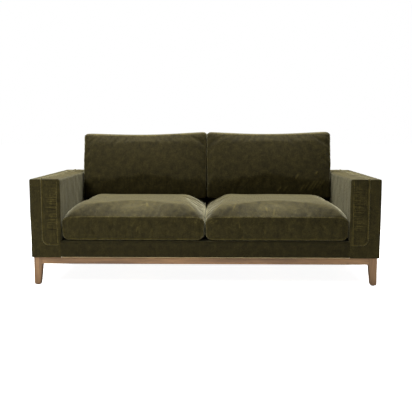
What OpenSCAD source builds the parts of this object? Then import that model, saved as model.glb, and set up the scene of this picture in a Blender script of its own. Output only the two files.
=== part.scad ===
// Two-seat sofa with box arms, loose cushions and an oak base on four tapered legs.
// The origin is on the floor under the middle of the sofa; the front faces -Y.

/* [Overall] */
// Width over the two arms
sofa_w = 2130; // [1900:10:2400]
// Depth from the front of the arms to the outside back
sofa_d = 985; // [900:5:1100]
// Floor to the top of the arms and of the back frame
arm_h = 655; // [600:5:720]
// Floor to the underside of the upholstered body
body_z = 175; // [150:5:200]

/* [Upholstery] */
// Thickness of the velvet with its backing
cover_t = 2.5; // [1.5:0.5:4]
// Thickness of the wadding over the timber
wadding_t = 9.5; // [6:0.5:14]
// Radius of the long top edges
edge_r = 14; // [6:1:20]

/* [Arms] */
// Width of an arm
arm_w = 185; // [165:1:215]
// Width of the outer slab of an arm, up to the seam
slab_w = 75; // [74:1:90]
// Height of the padded panel's lower edge over the arm's bottom rails
pad_margin = 8; // [4:1:20]
// Width of the arm posts and rails
arm_timber_w = 45; // [35:1:50]
// Depth of the arm posts and of the blocks between the bottom rails
post_d = 60; // [45:5:80]
// Height of the bottom rails
arm_rail_h = 70; // [55:1:76]
// Height of the top rail
arm_top_rail_h = 38; // [28:1:50]
// Thickness of the hardboard on the outside of the frame
hardboard_t = 3; // [2:0.5:5]
// Thickness of the plywood on the inside of the frame
plywood_t = 12; // [9:1:14]

/* [Oak base] */
// Distance of the legs from the upholstered faces
base_inset = 11; // [8:1:26]
// Height of the base rails
base_rail_h = 43; // [32:1:50]
// Thickness of the base rails
base_rail_t = 24; // [20:1:28]
// Set-back of the base rails from the faces of the legs
base_rail_step = 1.5; // [0:0.5:3]
// Width of a leg at the top
leg_w = 50; // [42:1:56]
// Width of a leg at the floor
leg_foot_w = 38; // [30:1:42]
// Bevel round the foot of a leg
leg_bevel = 4; // [1:0.5:6]
// Diameter of a glide
glide_d = 20; // [14:1:22]
// Height of a glide
glide_h = 4; // [2:0.5:6]
// Width of the boards that cross the base
cross_board_w = 60; // [40:5:90]
// Thickness of the boards that cross the base
cross_board_t = 20; // [16:1:24]
// Diameter of the dowels
dowel_d = 8; // [6:1:10]
// Length of the dowels
dowel_l = 36; // [30:1:40]
// Distance between the two dowels of a joint
dowel_pitch = 20; // [14:1:24]
// Length of a corner block along each rail
corner_block_l = 85; // [70:1:110]
// Height of a corner block
corner_block_h = 32; // [24:1:32]
// Diameter of the leg bolts and the arm bolts
bolt_d = 8; // [6:1:10]
// Depth of a leg bolt in the leg
leg_bolt_in = 16; // [12:1:20]
// Diameter of the screws that hold the base
screw_d = 5; // [4:0.5:6]
// Length of the screws that hold the base
screw_l = 60; // [55:1:70]
// Distance of the last screws from the ends of the seat box
screw_end = 120; // [60:5:200]

/* [Seat box] */
// Thickness of the seat rails
seat_rail_t = 38; // [32:1:45]
// Height of the seat rails
seat_rail_h = 80; // [72:1:90]
// Height of the boards from the front rail to the spring rail
stretcher_h = 45; // [35:1:55]
// Length of a seat corner block along each rail
seat_block_l = 90; // [60:5:120]
// Springs under each seat cushion
springs_per_seat = 5; // [4:1:6]
// Thickness of the spring wire
wire_t = 3.5; // [3:0.5:4]
// Width of the straight run of a spring
spring_run = 30; // [20:1:40]
// Number of runs along a spring
spring_runs = 27; // [21:2:31]
// Diameter of the wires that tie the springs together
tie_wire_d = 3; // [2:0.5:3]
// Width of a spring clip
clip_w = 18; // [14:1:24]
// Sheet thickness of a spring clip
clip_t = 1.5; // [1:0.25:1.5]
// Thickness of the pad on the springs
deck_pad_t = 11; // [8:1:16]
// How far the velvet runs back over the deck
front_lap = 90; // [60:5:140]
// Distance of the arm bolts from the middle of the depth
arm_bolt_y = 240; // [180:10:300]
// Height of the arm bolts above the body's underside
arm_bolt_z = 40; // [30:1:50]

/* [Back frame] */
// Thickness of the back at the deck
back_t = 142; // [135:1:170]
// Slope of the inside back from the vertical, in degrees
back_rake = 7.5; // [4:0.5:9]
// Thickness of the foam on the inside back
back_foam_t = 25; // [15:1:30]
// Width of a back post
back_post_w = 45; // [35:1:60]
// Height of the back rails
back_rail_h = 60; // [45:1:80]
// Thickness of the back rails
back_rail_t = 24; // [18:1:26]
// Width of the webbing
web_w = 50; // [40:5:70]
// Thickness of the webbing
web_t = 1.5; // [1:0.5:2]
// Vertical webs across the back
web_count = 12; // [8:1:16]

/* [Cushions] */
// Room left beside each cushion
cushion_gap = 2; // [1:0.5:6]
// Distance of the seat cushions behind the front of the arms
seat_setback = 4; // [2:1:20]
// Height of the boxing round a seat cushion
seat_boxing_h = 143; // [120:1:160]
// Rise of the crown over the boxing
seat_crown_h = 80; // [60:1:95]
// Distance over which the crown rises from an edge
seat_crown_run = 130; // [80:5:160]
// Height of the squeezed seat cushion where a back cushion stands on it
seat_rest_h = 192; // [180:1:205]
// Height of a back cushion
back_cushion_h = 467; // [420:1:500]
// Thickness of a back cushion at its foot
back_cushion_t = 215; // [160:1:230]
// Thickness of a back cushion along its top
back_top_t = 155; // [80:1:170]
// Swell of the front of a back cushion
back_swell = 14; // [5:1:40]
// How much each side of a back cushion leans in towards the top
back_side_lean = 2; // [0:1:24]
// Distance from the end of a zip to the side of its cushion
zip_margin = 88; // [60:1:200]
// Width of the zip tape
zip_w = 28; // [20:1:32]
// Thickness of the zip tape
zip_tape_t = 1; // [0.5:0.25:1.5]
// Width of the zip's row of teeth
zip_teeth_w = 6; // [4:1:8]
// Thickness of the zip's row of teeth
zip_teeth_t = 1.5; // [1:0.25:2]
// Length of a zip slider
slider_l = 12; // [8:1:16]
// Length of the slider's pull
pull_l = 26; // [16:1:34]

/* [Hidden] */
$fn = 48;
eps = 1;                    // how far a cut runs past the face it opens
fit = 0.1;                  // clearance all round a dowel, bolt or screw in its hole
gap = 0.5;                  // clearance under a loose cushion

half_w = sofa_w / 2;
half_d = sofa_d / 2;
inner_half = half_w - arm_w;                            // half the room between the arms
seat_mid = inner_half / 2;                              // middle of a seat from the middle of the sofa
skin = cover_t + wadding_t;                             // what lies over the timber
frame_half_d = half_d - skin;                           // half the depth of the timber frame
frame_top = arm_h - skin;                               // top of the timber frame
u_frame = skin + hardboard_t;                           // outer face of the arm timber
u_ply = u_frame + arm_timber_w;                         // inner face of the arm timber
u_pad = u_ply + plywood_t;                              // outer face of the arm's foam
arm_rail_top = body_z + arm_rail_h;
pad_z = arm_rail_top + pad_margin;                      // lower edge of the padded panel
post_ys = [-frame_half_d, -post_d / 2, frame_half_d - post_d];
seat_rail_top = body_z + seat_rail_h;
clip_h = 2 * clip_t + wire_t;
pad_bottom = seat_rail_top + clip_h;                    // underside of the pad on the springs
deck_z = pad_bottom + deck_pad_t + cover_t;             // top of the deck
lap_y = -half_d + front_lap;                            // where the velvet meets the deck cloth
rail_half_x = inner_half - seat_rail_t;                 // inner face of the seat's side rails
front_rail_y = -frame_half_d + seat_rail_t;             // inner face of the seat's front rail
back_rail_y = frame_half_d - seat_rail_t;               // inner face of the seat's back rail
inside_y = half_d - back_t;                             // inside back at the height of the deck
layer_gap = 0.02;                                       // room between the raked layers of the back
web_face = cover_t + back_foam_t + layer_gap;           // front of the webbing, behind the inside back
rail_face = web_face + web_t + layer_gap;               // front of the back rails
post_face = rail_face + web_t + layer_gap;              // front of the back posts
back_panel_y = frame_half_d - hardboard_t;
back_post_xs = [for (k = [-1.5:1:1.5]) k * (2 * inner_half - back_post_w) / 3];
spring_rail_y = inside_y;                               // front face of the spring rail
spring_y0 = -frame_half_d + seat_rail_t / 2;
clip_tail = 7;                                          // how far a clip's foot runs either way
clip_room = 2;                                          // room between the rear clips and the back posts
spring_y1 = inside_back(seat_rail_top) + post_face / cos(back_rake) - clip_tail - clip_room;
spring_pitch = (spring_y1 - spring_y0) / (spring_runs - 1);
spring_gap = inner_half / springs_per_seat;

leg_x = half_w - base_inset;                            // outer face of a leg
leg_y = half_d - base_inset;                            // front or back face of a leg
base_rail_x = leg_x - base_rail_step - base_rail_t;     // inner face of a side base rail
base_rail_y = leg_y - base_rail_step - base_rail_t;     // inner face of a front or back base rail
base_rail_z = body_z - base_rail_h;
base_mid = base_rail_step + base_rail_t / 2;            // middle of a base rail from the leg's face
base_mid_z = body_z - base_rail_h / 2;
dust_t = 1;
screw_head_d = 2 * screw_d;
screw_head_h = 3;
screw_xs = [-1, -0.5, 0, 0.5, 1] * (inner_half - screw_end);
screw_ys = [-1, 1] * (sofa_d / 4);
block_face = base_rail_step + base_rail_t;              // rails' inner faces from the leg's faces
block_room = 2;                                         // room between a block and its leg
leg_bolt_l = (leg_w - leg_bolt_in / sqrt(2));           // where a leg bolt starts, on the diagonal

crown_z = deck_z + seat_boxing_h + seat_crown_h;
rest_z = deck_z + gap + seat_rest_h;                    // top of the squeezed seat cushion
back_foot_z = rest_z + gap;                             // underside of a back cushion
back_foot_y = inside_back(back_foot_z) - cushion_gap;   // back of a back cushion at its foot
zip_l = inner_half - 2 * cushion_gap - 2 * zip_margin;
zip_depth = zip_tape_t + zip_teeth_t + 4;               // depth of the channel that the zip lies in
slider_clear = 0.3;
slider_t = 2.4;
slider_w = 10;
pull_w = 6;
pull_t = 0.8;
zip_seat_z = deck_z + gap + seat_boxing_h / 2;
zip_back_y = back_foot_y - back_cushion_t / 2;

// ---- Shared shapes ----

// Y of the inside back at a height
function inside_back(z) = inside_y + (z - deck_z) * tan(back_rake);

// Points of an arc round a centre, from angle a0 to a1
function arc(c, r, a0, a1, n = 6) = [for (i = [0:n]) let (a = a0 + (a1 - a0) * i / n) c + r * [cos(a), sin(a)]];

// The same points from the last to the first
function backwards(v) = [for (i = [len(v) - 1:-1:0]) v[i]];

// Outline of a rectangle whose corners named in rs are rounded: bottom left, bottom right, top right, top left
function round_rect(x0, y0, x1, y1, rs) = concat(
    rs[0] > 0 ? arc([x0 + rs[0], y0 + rs[0]], rs[0], 180, 270) : [[x0, y0]],
    rs[1] > 0 ? arc([x1 - rs[1], y0 + rs[1]], rs[1], 270, 360) : [[x1, y0]],
    rs[2] > 0 ? arc([x1 - rs[2], y1 - rs[2]], rs[2], 0, 90) : [[x1, y1]],
    rs[3] > 0 ? arc([x0 + rs[3], y1 - rs[3]], rs[3], 90, 180) : [[x0, y1]]);

// A box from its lowest corner to its highest
module block(a, b) translate(a) cube(b - a);

// An outline of Y and Z, drawn out along X
module prism_x(x0, x1, points) translate([x0, 0, 0]) rotate([90, 0, 90]) linear_extrude(x1 - x0) polygon(points);

// An outline of X and Z, drawn out along Y
module prism_y(y0, y1, points) translate([0, y1, 0]) rotate([90, 0, 0]) linear_extrude(y1 - y0) polygon(points);

// The children as drawn on the right, and their mirror image on the left
module both_sides() {
    children();
    mirror([1, 0, 0]) children();
}

// The children as drawn on the right, or their mirror image
module on_side(side) {
    if (side == "right") children();
    else mirror([1, 0, 0]) children();
}

// The children at each of the four corners, drawn with their origin at the leg's outer corner and
// X and Y running inwards
module four_corners() {
    for (sx = [0, 1], sy = [0, 1]) mirror([sx, 0, 0]) mirror([0, sy, 0])
        translate([-leg_x, -leg_y, 0]) children();
}

// A rod along X, Y or Z from a point
module rod(p, l, d, along) {
    turn = along == "x" ? [0, 90, 0] : along == "y" ? [-90, 0, 0] : [0, 0, 0];
    translate(p) rotate(turn) cylinder(h = l, d = d);
}

// ---- Oak base ----

// Dowels of the joints at one corner, or the holes for them
module corner_dowels(extra_d = 0, extra_l = 0) {
    for (dz = [-1, 1] * dowel_pitch / 2) {
        start = leg_w - dowel_l / 2 - extra_l / 2;
        rod([start, base_mid, base_mid_z + dz], dowel_l + extra_l, dowel_d + extra_d, "x");
        rod([base_mid, start, base_mid_z + dz], dowel_l + extra_l, dowel_d + extra_d, "y");
    }
}

// The bolt of one corner, from inside the leg out along the diagonal
module corner_bolt(d, l) {
    translate([leg_bolt_l, leg_bolt_l, base_mid_z]) rotate([0, 0, 45]) rotate([0, 90, 0]) cylinder(h = l, d = d);
}

// Length of a leg bolt: past the corner block, its washer and its nut
function bolt_reach() = (block_face + corner_block_l / 2) * sqrt(2) - leg_bolt_l * sqrt(2) + 14;

// A leg: square at the top, tapered on its two inner faces, with a bevelled foot
module leg() {
    h = body_z;
    side = [[leg_bevel, glide_h], [leg_foot_w - leg_bevel, glide_h], [leg_foot_w, glide_h + leg_bevel],
            [leg_w, base_rail_z], [leg_w, h], [0, h], [0, glide_h + leg_bevel]];
    difference() {
        intersection() {
            prism_y(0, leg_w, side);
            prism_x(0, leg_w, side);
        }
        corner_dowels(2 * fit, 2);
        corner_bolt(bolt_d + 2 * fit, leg_w);
    }
}

module base_leg(sx, sy) {
    color("#a5764f") mirror([sx, 0, 0]) mirror([0, sy, 0]) translate([-leg_x, -leg_y, 0]) leg();
}

module leg_glides() {
    color("#3a332c") four_corners() translate([leg_foot_w / 2, leg_foot_w / 2, 0]) cylinder(h = glide_h, d = glide_d);
}

// Screws up through the base rails into the body, or the holes for them
module base_screw(x, y, extra = 0) {
    translate([x, y, base_rail_z]) {
        cylinder(h = screw_l, d = screw_d + extra);
        cylinder(h = screw_head_h, d = screw_head_d + extra);
    }
}

module all_base_screws(extra = 0) {
    for (x = screw_xs, s = [-1, 1]) base_screw(x, s * (leg_y - base_mid), extra);
    for (y = screw_ys, s = [-1, 1]) base_screw(s * (leg_x - base_mid), y, extra);
}

module base_long_rail() {
    end = leg_x - leg_w;
    color("#a5764f") difference() {
        block([-end, -leg_y + base_rail_step, base_rail_z], [end, -base_rail_y, body_z]);
        all_base_screws(2 * fit);
        four_corners() corner_dowels(2 * fit, 2);
    }
}

module base_side_rail() {
    end = leg_y - leg_w;
    color("#a5764f") difference() {
        block([base_rail_x, -end, base_rail_z], [leg_x - base_rail_step, end, body_z]);
        all_base_screws(2 * fit);
        four_corners() corner_dowels(2 * fit, 2);
    }
}

module base_cross_boards() {
    top = body_z - dust_t;
    color("#c2a27a") both_sides() block([seat_mid - cross_board_w / 2, -base_rail_y, top - cross_board_t],
                                        [seat_mid + cross_board_w / 2, base_rail_y, top]);
}

module base_dowels() {
    color("#d9c09a") four_corners() corner_dowels();
}

module base_corner_blocks() {
    near = leg_w + block_room;
    far = block_face + corner_block_l;
    color("#c2a27a") four_corners() difference() {
        translate([0, 0, base_mid_z - corner_block_h / 2]) linear_extrude(corner_block_h)
            polygon([[near, block_face], [far, block_face], [block_face, far], [block_face, near], [near, near]]);
        corner_bolt(bolt_d + 2 * fit, bolt_reach());
    }
}

// Bolt, washer and nut of each leg
module leg_bolts() {
    nut_t = 6.5;
    washer_t = 1.6;
    face = (block_face + corner_block_l / 2) * sqrt(2);
    color("#8d8f92") four_corners() {
        corner_bolt(bolt_d, bolt_reach());
        translate([0, 0, base_mid_z]) rotate([0, 0, 45]) rotate([0, 90, 0]) difference() {
            union() {
                translate([0, 0, face]) cylinder(h = washer_t, d = 2 * bolt_d);
                translate([0, 0, face + washer_t]) cylinder(h = nut_t, d = 1.8 * bolt_d, $fn = 6);
            }
            translate([0, 0, face - eps]) cylinder(h = nut_t + washer_t + 2 * eps, d = bolt_d + fit);
        }
    }
}

module base_screws() color("#8d8f92") all_base_screws();

// Black cloth stapled under the body, cut out round the legs
module dust_cover() {
    room = fit + leg_w;
    color("#1c1b1a") difference() {
        block([-base_rail_x, -base_rail_y, body_z - dust_t], [base_rail_x, base_rail_y, body_z]);
        four_corners() block([0, 0, base_rail_z], [room, room, body_z + eps]);
    }
}

// ---- Seat box ----

module seat_long_rails() {
    low = body_z;
    color("#d8bd8f") difference() {
        union() {
            block([-inner_half, -frame_half_d, low], [inner_half, front_rail_y, seat_rail_top]);
            block([-inner_half, back_rail_y, low], [inner_half, frame_half_d, seat_rail_top]);
            block([-rail_half_x, spring_rail_y, low], [rail_half_x, spring_rail_y + seat_rail_t, seat_rail_top]);
        }
        all_base_screws(2 * fit);
    }
}

module seat_side_rails() {
    color("#d8bd8f") difference() {
        both_sides() block([rail_half_x, front_rail_y, body_z], [inner_half, back_rail_y, seat_rail_top]);
        arm_bolt_rods(bolt_d + 2 * fit);
    }
}

module seat_stretchers() {
    w = seat_rail_t / 2;
    color("#d8bd8f") for (x = [-1, 0, 1] * seat_mid)
        block([x - w, front_rail_y, body_z], [x + w, spring_rail_y, body_z + stretcher_h]);
}

// Glued blocks in the four corners where the springs pull, and between the two bottom rails of each arm
module glue_blocks() {
    margin = 5;
    l = seat_block_l;
    color("#c2a27a") both_sides() {
        for (s = [1, -1]) {
            y = s > 0 ? front_rail_y : spring_rail_y;
            translate([0, 0, body_z + margin]) linear_extrude(seat_rail_h - 2 * margin)
                polygon([[rail_half_x, y], [rail_half_x - l, y], [rail_half_x, y + s * l]]);
        }
        for (y = post_ys) arm_block(u_ply, arm_w - arm_timber_w, y, y + post_d, body_z, arm_rail_top);
    }
}

// The centre line of a zigzag spring, as pairs of a point and the direction to its left
function spring_bend(i) = let (d = i % 2 == 0 ? 1 : -1) [for (a = [-90:45:90])
    let (out = [d * cos(a), sin(a)])
    [[d * spring_run / 2, (i + 0.5) * spring_pitch] + spring_pitch / 2 * out, -d * out]];
spring_line = concat([[[-spring_run / 2, 0], [0, 1]]],
    [for (i = [0:spring_runs - 2]) each spring_bend(i)],
    [[[spring_run / 2, (spring_runs - 1) * spring_pitch], [0, 1]]]);
spring_outline = concat(
    [for (p = spring_line) p[0] + p[1] * wire_t / 2],
    [for (i = [len(spring_line) - 1:-1:0]) spring_line[i][0] - spring_line[i][1] * wire_t / 2]);

module at_springs() {
    both_sides() for (i = [0:springs_per_seat - 1]) translate([(i + 0.5) * spring_gap, 0, seat_rail_top]) children();
}

module seat_springs() {
    color("#6d7072") at_springs() translate([0, spring_y0, clip_t]) linear_extrude(wire_t) polygon(spring_outline);
}

// A sheet-metal hook that holds the end run of a spring on its rail
module spring_clip() {
    room = 0.3;
    w = wire_t / 2 + room;
    prism_x(-clip_w / 2, clip_w / 2, [[-clip_tail, 0], [clip_tail, 0], [clip_tail, clip_t], [-w, clip_t],
        [-w, clip_t + wire_t], [w, clip_t + wire_t], [w, clip_h], [-w - clip_t, clip_h], [-w - clip_t, clip_t],
        [-clip_tail, clip_t]]);
}

module spring_clips() {
    color("#a9abac") at_springs() {
        translate([0, spring_y0, 0]) spring_clip();
        translate([0, spring_y1, 0]) mirror([0, 1, 0]) spring_clip();
    }
}

// Two wires under the springs, from side rail to side rail
module spring_tie_wires() {
    span = spring_y1 - spring_y0;
    color("#e6ddc8") for (k = [1, 2]) rod([-rail_half_x, spring_y0 + k * span / 3,
        seat_rail_top + clip_t - tie_wire_d / 2 - fit], 2 * rail_half_x, tie_wire_d, "x");
}

module deck_pad() {
    color("#e9e4d8") block([-inner_half, lap_y, pad_bottom], [inner_half, inside_y, pad_bottom + deck_pad_t]);
}

module deck_cloth() {
    color("#2b2a20") block([-inner_half, lap_y, deck_z - cover_t], [inner_half, inside_y, deck_z]);
}

// The rounded top edge of the front rail, at an inset from the velvet's face
function front_edge(inset) = arc([-half_d + edge_r, deck_z - edge_r], edge_r - inset, 90, 180);

// Foam on the face and the top edge of the front rail
module front_foam() {
    color("#efe6c8") prism_x(-inner_half, inner_half, concat([[lap_y, deck_z - cover_t]], front_edge(cover_t),
        [[-half_d + cover_t, body_z], [-frame_half_d, body_z], [-frame_half_d, pad_bottom], [lap_y, pad_bottom]]));
}

// Velvet over the front rail and back over the edge of the deck
module front_cover() {
    color("#3d3a22") prism_x(-inner_half, inner_half, concat([[lap_y, deck_z - cover_t], [lap_y, deck_z]],
        front_edge(0), [[-half_d, body_z], [-half_d + cover_t, body_z]], backwards(front_edge(cover_t))));
}

// Rods where the arm bolts run, through the side rails and the arms' inner bottom rails
module arm_bolt_rods(d) {
    both_sides() for (y = [-1, 1] * arm_bolt_y)
        rod([rail_half_x - eps, y, body_z + arm_bolt_z], seat_rail_t + arm_timber_w + 2 * eps, d, "x");
}

// Carriage bolts that join the arms to the seat box, each with a head, a washer and a nut
module arm_bolts() {
    head_h = 4;
    nut_t = 6.5;
    washer_t = 1.6;
    l = seat_rail_t + arm_timber_w;
    color("#8d8f92") both_sides() for (y = [-1, 1] * arm_bolt_y) translate([rail_half_x, y, body_z + arm_bolt_z]) {
        rod([-head_h, 0, 0], head_h, 2.2 * bolt_d, "x");
        rod([0, 0, 0], l + washer_t + nut_t + 3, bolt_d, "x");
        difference() {
            union() {
                rod([l, 0, 0], washer_t, 2.2 * bolt_d, "x");
                translate([l + washer_t, 0, 0]) rotate([0, 90, 0]) cylinder(h = nut_t, d = 1.8 * bolt_d, $fn = 6);
            }
            rod([l - eps, 0, 0], washer_t + nut_t + 2 * eps, bolt_d + fit, "x");
        }
    }
}

// ---- Arms, drawn on the right: u runs inwards from the arm's outer face ----

function x_at(u) = half_w - u;

// A box from u0 to u1 across the arm
module arm_block(u0, u1, y0, y1, z0, z1) block([x_at(u1), y0, z0], [x_at(u0), y1, z1]);

module arm_posts() {
    top = frame_top - arm_top_rail_h;
    color("#d8bd8f") both_sides() for (y = post_ys) arm_block(u_frame, u_ply, y, y + post_d, arm_rail_top, top);
}

module arm_rails() {
    color("#d8bd8f") difference() {
        both_sides() {
            arm_block(u_frame, u_ply, -frame_half_d, frame_half_d, frame_top - arm_top_rail_h, frame_top);
            arm_block(u_frame, u_ply, -frame_half_d, frame_half_d, body_z, arm_rail_top);
            arm_block(arm_w - arm_timber_w, arm_w, -frame_half_d, frame_half_d, body_z, arm_rail_top);
        }
        all_base_screws(2 * fit);
        arm_bolt_rods(bolt_d + 2 * fit);
    }
}

// Hardboard on the outsides of the arms and of the back
module outer_panels() {
    color("#8a6a48") {
        both_sides() arm_block(skin, u_frame, -frame_half_d, frame_half_d, body_z, frame_top);
        block([-inner_half, back_panel_y, seat_rail_top], [inner_half, frame_half_d, frame_top]);
    }
}

module arm_inner_panels() {
    color("#e0c697") both_sides() arm_block(u_ply, u_pad, -frame_half_d, frame_half_d, arm_rail_top, frame_top);
}

// Outline of the arm's outer part in X and Z: the tall slab and the low front under the pad.
// inset shrinks the outside; room runs the open edges past the arm for a cut
module arm_outer_solid(inset, slab_to, low_top, room) {
    low = body_z - room;
    prism_y(-half_d + inset, half_d - inset, round_rect(x_at(slab_to), low, x_at(inset), arm_h - inset,
        [0, 0, max(edge_r - inset, 2), 0]));
    arm_block(inset, arm_w + room, -half_d + inset, half_d - inset, low, low_top);
}

module arm_outer_cover(side) {
    color("#3d3a22") on_side(side) difference() {
        arm_outer_solid(0, slab_w, pad_z, 0);
        arm_outer_solid(cover_t, slab_w + eps, pad_z + eps, eps);
    }
}

module arm_wadding() {
    color("#f2efe6") both_sides() difference() {
        arm_outer_solid(cover_t, u_pad, arm_rail_top, 0);
        arm_block(skin, u_pad + eps, -frame_half_d, frame_half_d, body_z - eps, frame_top);
        arm_block(skin, arm_w + eps, -frame_half_d, frame_half_d, body_z - eps, arm_rail_top + eps);
    }
}

// The padded inner part of an arm: its top inner edge is rounded
module arm_pad_solid(u0, inset, low) {
    prism_y(-half_d + inset, half_d - inset, round_rect(x_at(arm_w - inset), low, x_at(u0), arm_h - inset,
        [0, 0, 0, edge_r - inset]));
}

module arm_pad_cover(side) {
    color("#46432a") on_side(side) difference() {
        arm_pad_solid(slab_w, 0, pad_z);
        arm_pad_solid(slab_w - eps, cover_t, pad_z - eps);
    }
}

module arm_pad_foam() {
    color("#efe6c8") both_sides() arm_pad_solid(u_pad, cover_t, arm_rail_top);
}

// ---- Back frame ----

// A slab parallel to the inside back, from depth d0 to d1 behind it, between two heights
module raked_slab(x0, x1, d0, d1, z0, z1) {
    s = 1 / cos(back_rake);
    prism_x(x0, x1, [[inside_back(z0) + d0 * s, z0], [inside_back(z0) + d1 * s, z0],
                     [inside_back(z1) + d1 * s, z1], [inside_back(z1) + d0 * s, z1]]);
}

module back_posts() {
    s = post_face / cos(back_rake);
    color("#d8bd8f") for (x = back_post_xs) prism_x(x - back_post_w / 2, x + back_post_w / 2,
        [[inside_back(seat_rail_top) + s, seat_rail_top], [back_panel_y, seat_rail_top],
         [back_panel_y, frame_top], [inside_back(frame_top) + s, frame_top]]);
}

// Top and bottom rails between the posts, which the webbing is stapled to
module back_rails() {
    color("#d8bd8f") for (k = [0:2]) {
        x0 = back_post_xs[k] + back_post_w / 2;
        x1 = back_post_xs[k + 1] - back_post_w / 2;
        raked_slab(x0, x1, rail_face, rail_face + back_rail_t, frame_top - back_rail_h, frame_top);
        raked_slab(x0, x1, rail_face, rail_face + back_rail_t, deck_z, deck_z + back_rail_h);
    }
}

// Upright webs, with two level ones across their backs, stapled on the rails and posts
module back_webbing() {
    pitch = 2 * inner_half / web_count;
    rise = (frame_top - deck_z) / 3;
    color("#b9ad8f") {
        for (i = [0:web_count - 1]) {
            x = -inner_half + (i + 0.5) * pitch;
            raked_slab(x - web_w / 2, x + web_w / 2, web_face, web_face + web_t, deck_z, frame_top);
        }
        for (k = [1, 2]) raked_slab(-inner_half, inner_half, rail_face, rail_face + web_t,
            deck_z + k * rise - web_w / 2, deck_z + k * rise + web_w / 2);
    }
}

module back_foam() {
    color("#efe6c8") raked_slab(-inner_half, inner_half, cover_t, cover_t + back_foam_t, deck_z, arm_h - cover_t);
}

// Wadding over the outside of the back and along its top
module back_wadding() {
    s = web_face / cos(back_rake);
    y = half_d - cover_t;
    color("#f2efe6") prism_x(-inner_half, inner_half, [[frame_half_d, body_z], [y, body_z], [y, arm_h - cover_t],
        [inside_back(arm_h - cover_t) + s, arm_h - cover_t], [inside_back(frame_top) + s, frame_top],
        [frame_half_d, frame_top]]);
}

module back_inner_cover() {
    s = cover_t / cos(back_rake);
    y = half_d - cover_t;
    color("#3d3a22") prism_x(-inner_half, inner_half, [[inside_back(deck_z), deck_z], [inside_back(deck_z) + s, deck_z],
        [inside_back(arm_h - cover_t) + s, arm_h - cover_t], [y, arm_h - cover_t], [y, arm_h],
        [inside_back(arm_h), arm_h]]);
}

module back_outer_cover() {
    color("#3d3a22") block([-inner_half, half_d - cover_t, body_z], [inner_half, half_d, arm_h]);
}

// ---- Cushions, drawn on the right ----

// A quarter of an ellipse from a point up to a height and in by a run; way is 1 inwards, -1 outwards
function crown(p, run, rise, way, n = 8) = [for (i = [0:n]) let (a = 90 * i / n)
    [p[0] + way * run * (1 - cos(a)), p[1] + rise * sin(a)]];

// A seat cushion, inset on all sides by e: its side outline crossed with its front outline
module seat_cushion_solid(e) {
    y0 = -half_d + seat_setback + e;
    y1 = inside_y - cushion_gap - e;
    x0 = cushion_gap + e;
    x1 = inner_half - cushion_gap - e;
    z0 = deck_z + gap + e;
    seam = deck_z + gap + seat_boxing_h;
    rise = crown_z - e - seam;
    step_y = back_foot_y - back_cushion_t - back_swell;
    ease = 30;
    intersection() {
        prism_x(x0, x1, concat([[y1, z0], [y1, rest_z - e], [step_y, rest_z - e]],
            [[step_y - ease, crown_z - e]], backwards(crown([y0, seam], seat_crown_run, rise, 1)), [[y0, z0]]));
        prism_y(y0, y1, concat([[x0, z0]], crown([x0, seam], seat_crown_run, rise, 1),
            backwards(crown([x1, seam], seat_crown_run, rise, -1)), [[x1, z0]]));
    }
}

// Space of a seat cushion's zip in its back boxing, grown by margin
module seat_zip_space(margin) {
    y = inside_y - cushion_gap;
    block([seat_mid - zip_l / 2 - margin, y - zip_depth - margin, zip_seat_z - zip_w / 2 - margin],
          [seat_mid + zip_l / 2 + margin, y + eps, zip_seat_z + zip_w / 2 + margin]);
}

module seat_cushion_filling_solid() difference() {
    seat_cushion_solid(cover_t);
    seat_zip_space(cover_t);
}

module seat_cushion_filling(side) color("#f4f0e6") on_side(side) seat_cushion_filling_solid();

module seat_cushion_cover(side) {
    color("#46432a") on_side(side) difference() {
        seat_cushion_solid(0);
        seat_cushion_filling_solid();
        seat_zip_space(0);
    }
}

// A back cushion, inset on all sides by e: it leans with the inside back and swells at the front
module back_cushion_solid(e) {
    z0 = back_foot_z + e;
    z1 = back_foot_z + back_cushion_h - e;
    n = 14;
    back = [for (z = [z0, z1]) [inside_back(z) - cushion_gap - e, z]];
    front = [for (i = [0:n]) let (s = i / n, z = z0 + (z1 - z0) * s,
        t = back_cushion_t + (back_top_t - back_cushion_t) * s * s + back_swell * sin(180 * s))
        [inside_back(z) - cushion_gap - t + e, z]];
    x0 = cushion_gap + e;
    x1 = inner_half - cushion_gap - e;
    r = 16;
    intersection() {
        prism_x(x0, x1, concat(back, backwards(front)));
        prism_y(0, half_d, concat([[x0, z0], [x1, z0]], arc([x1 - back_side_lean - r, z1 - r], r, 0, 90),
            arc([x0 + r, z1 - r], r, 90, 180)));
    }
}

// Space of a back cushion's zip in its underside, grown by margin
module back_zip_space(margin) {
    block([seat_mid - zip_l / 2 - margin, zip_back_y - zip_w / 2 - margin, back_foot_z - eps],
          [seat_mid + zip_l / 2 + margin, zip_back_y + zip_w / 2 + margin, back_foot_z + zip_depth + margin]);
}

module back_cushion_filling_solid() difference() {
    back_cushion_solid(cover_t);
    back_zip_space(cover_t);
}

module back_cushion_filling(side) color("#f4f0e6") on_side(side) back_cushion_filling_solid();

module back_cushion_cover(side) {
    color("#3d3a22") on_side(side) difference() {
        back_cushion_solid(0);
        back_cushion_filling_solid();
        back_zip_space(0);
    }
}

// ---- Zips: drawn lying on the floor of their channel, the channel's mouth facing +Z ----

module zip_chain() {
    block([-zip_l / 2, -zip_w / 2, 0], [zip_l / 2, zip_w / 2, zip_tape_t]);
    block([-zip_l / 2, -zip_teeth_w / 2, zip_tape_t], [zip_l / 2, zip_teeth_w / 2, zip_tape_t + zip_teeth_t]);
}

module zip_slider() {
    z = zip_tape_t + zip_teeth_t + slider_clear;
    x = zip_l / 2 - slider_l;
    block([x, -slider_w / 2, z], [x + slider_l, slider_w / 2, z + slider_t]);
    block([x + slider_l / 2 - pull_l, -pull_w / 2, z + slider_t], [x + slider_l / 2, pull_w / 2, z + slider_t + pull_t]);
}

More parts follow.
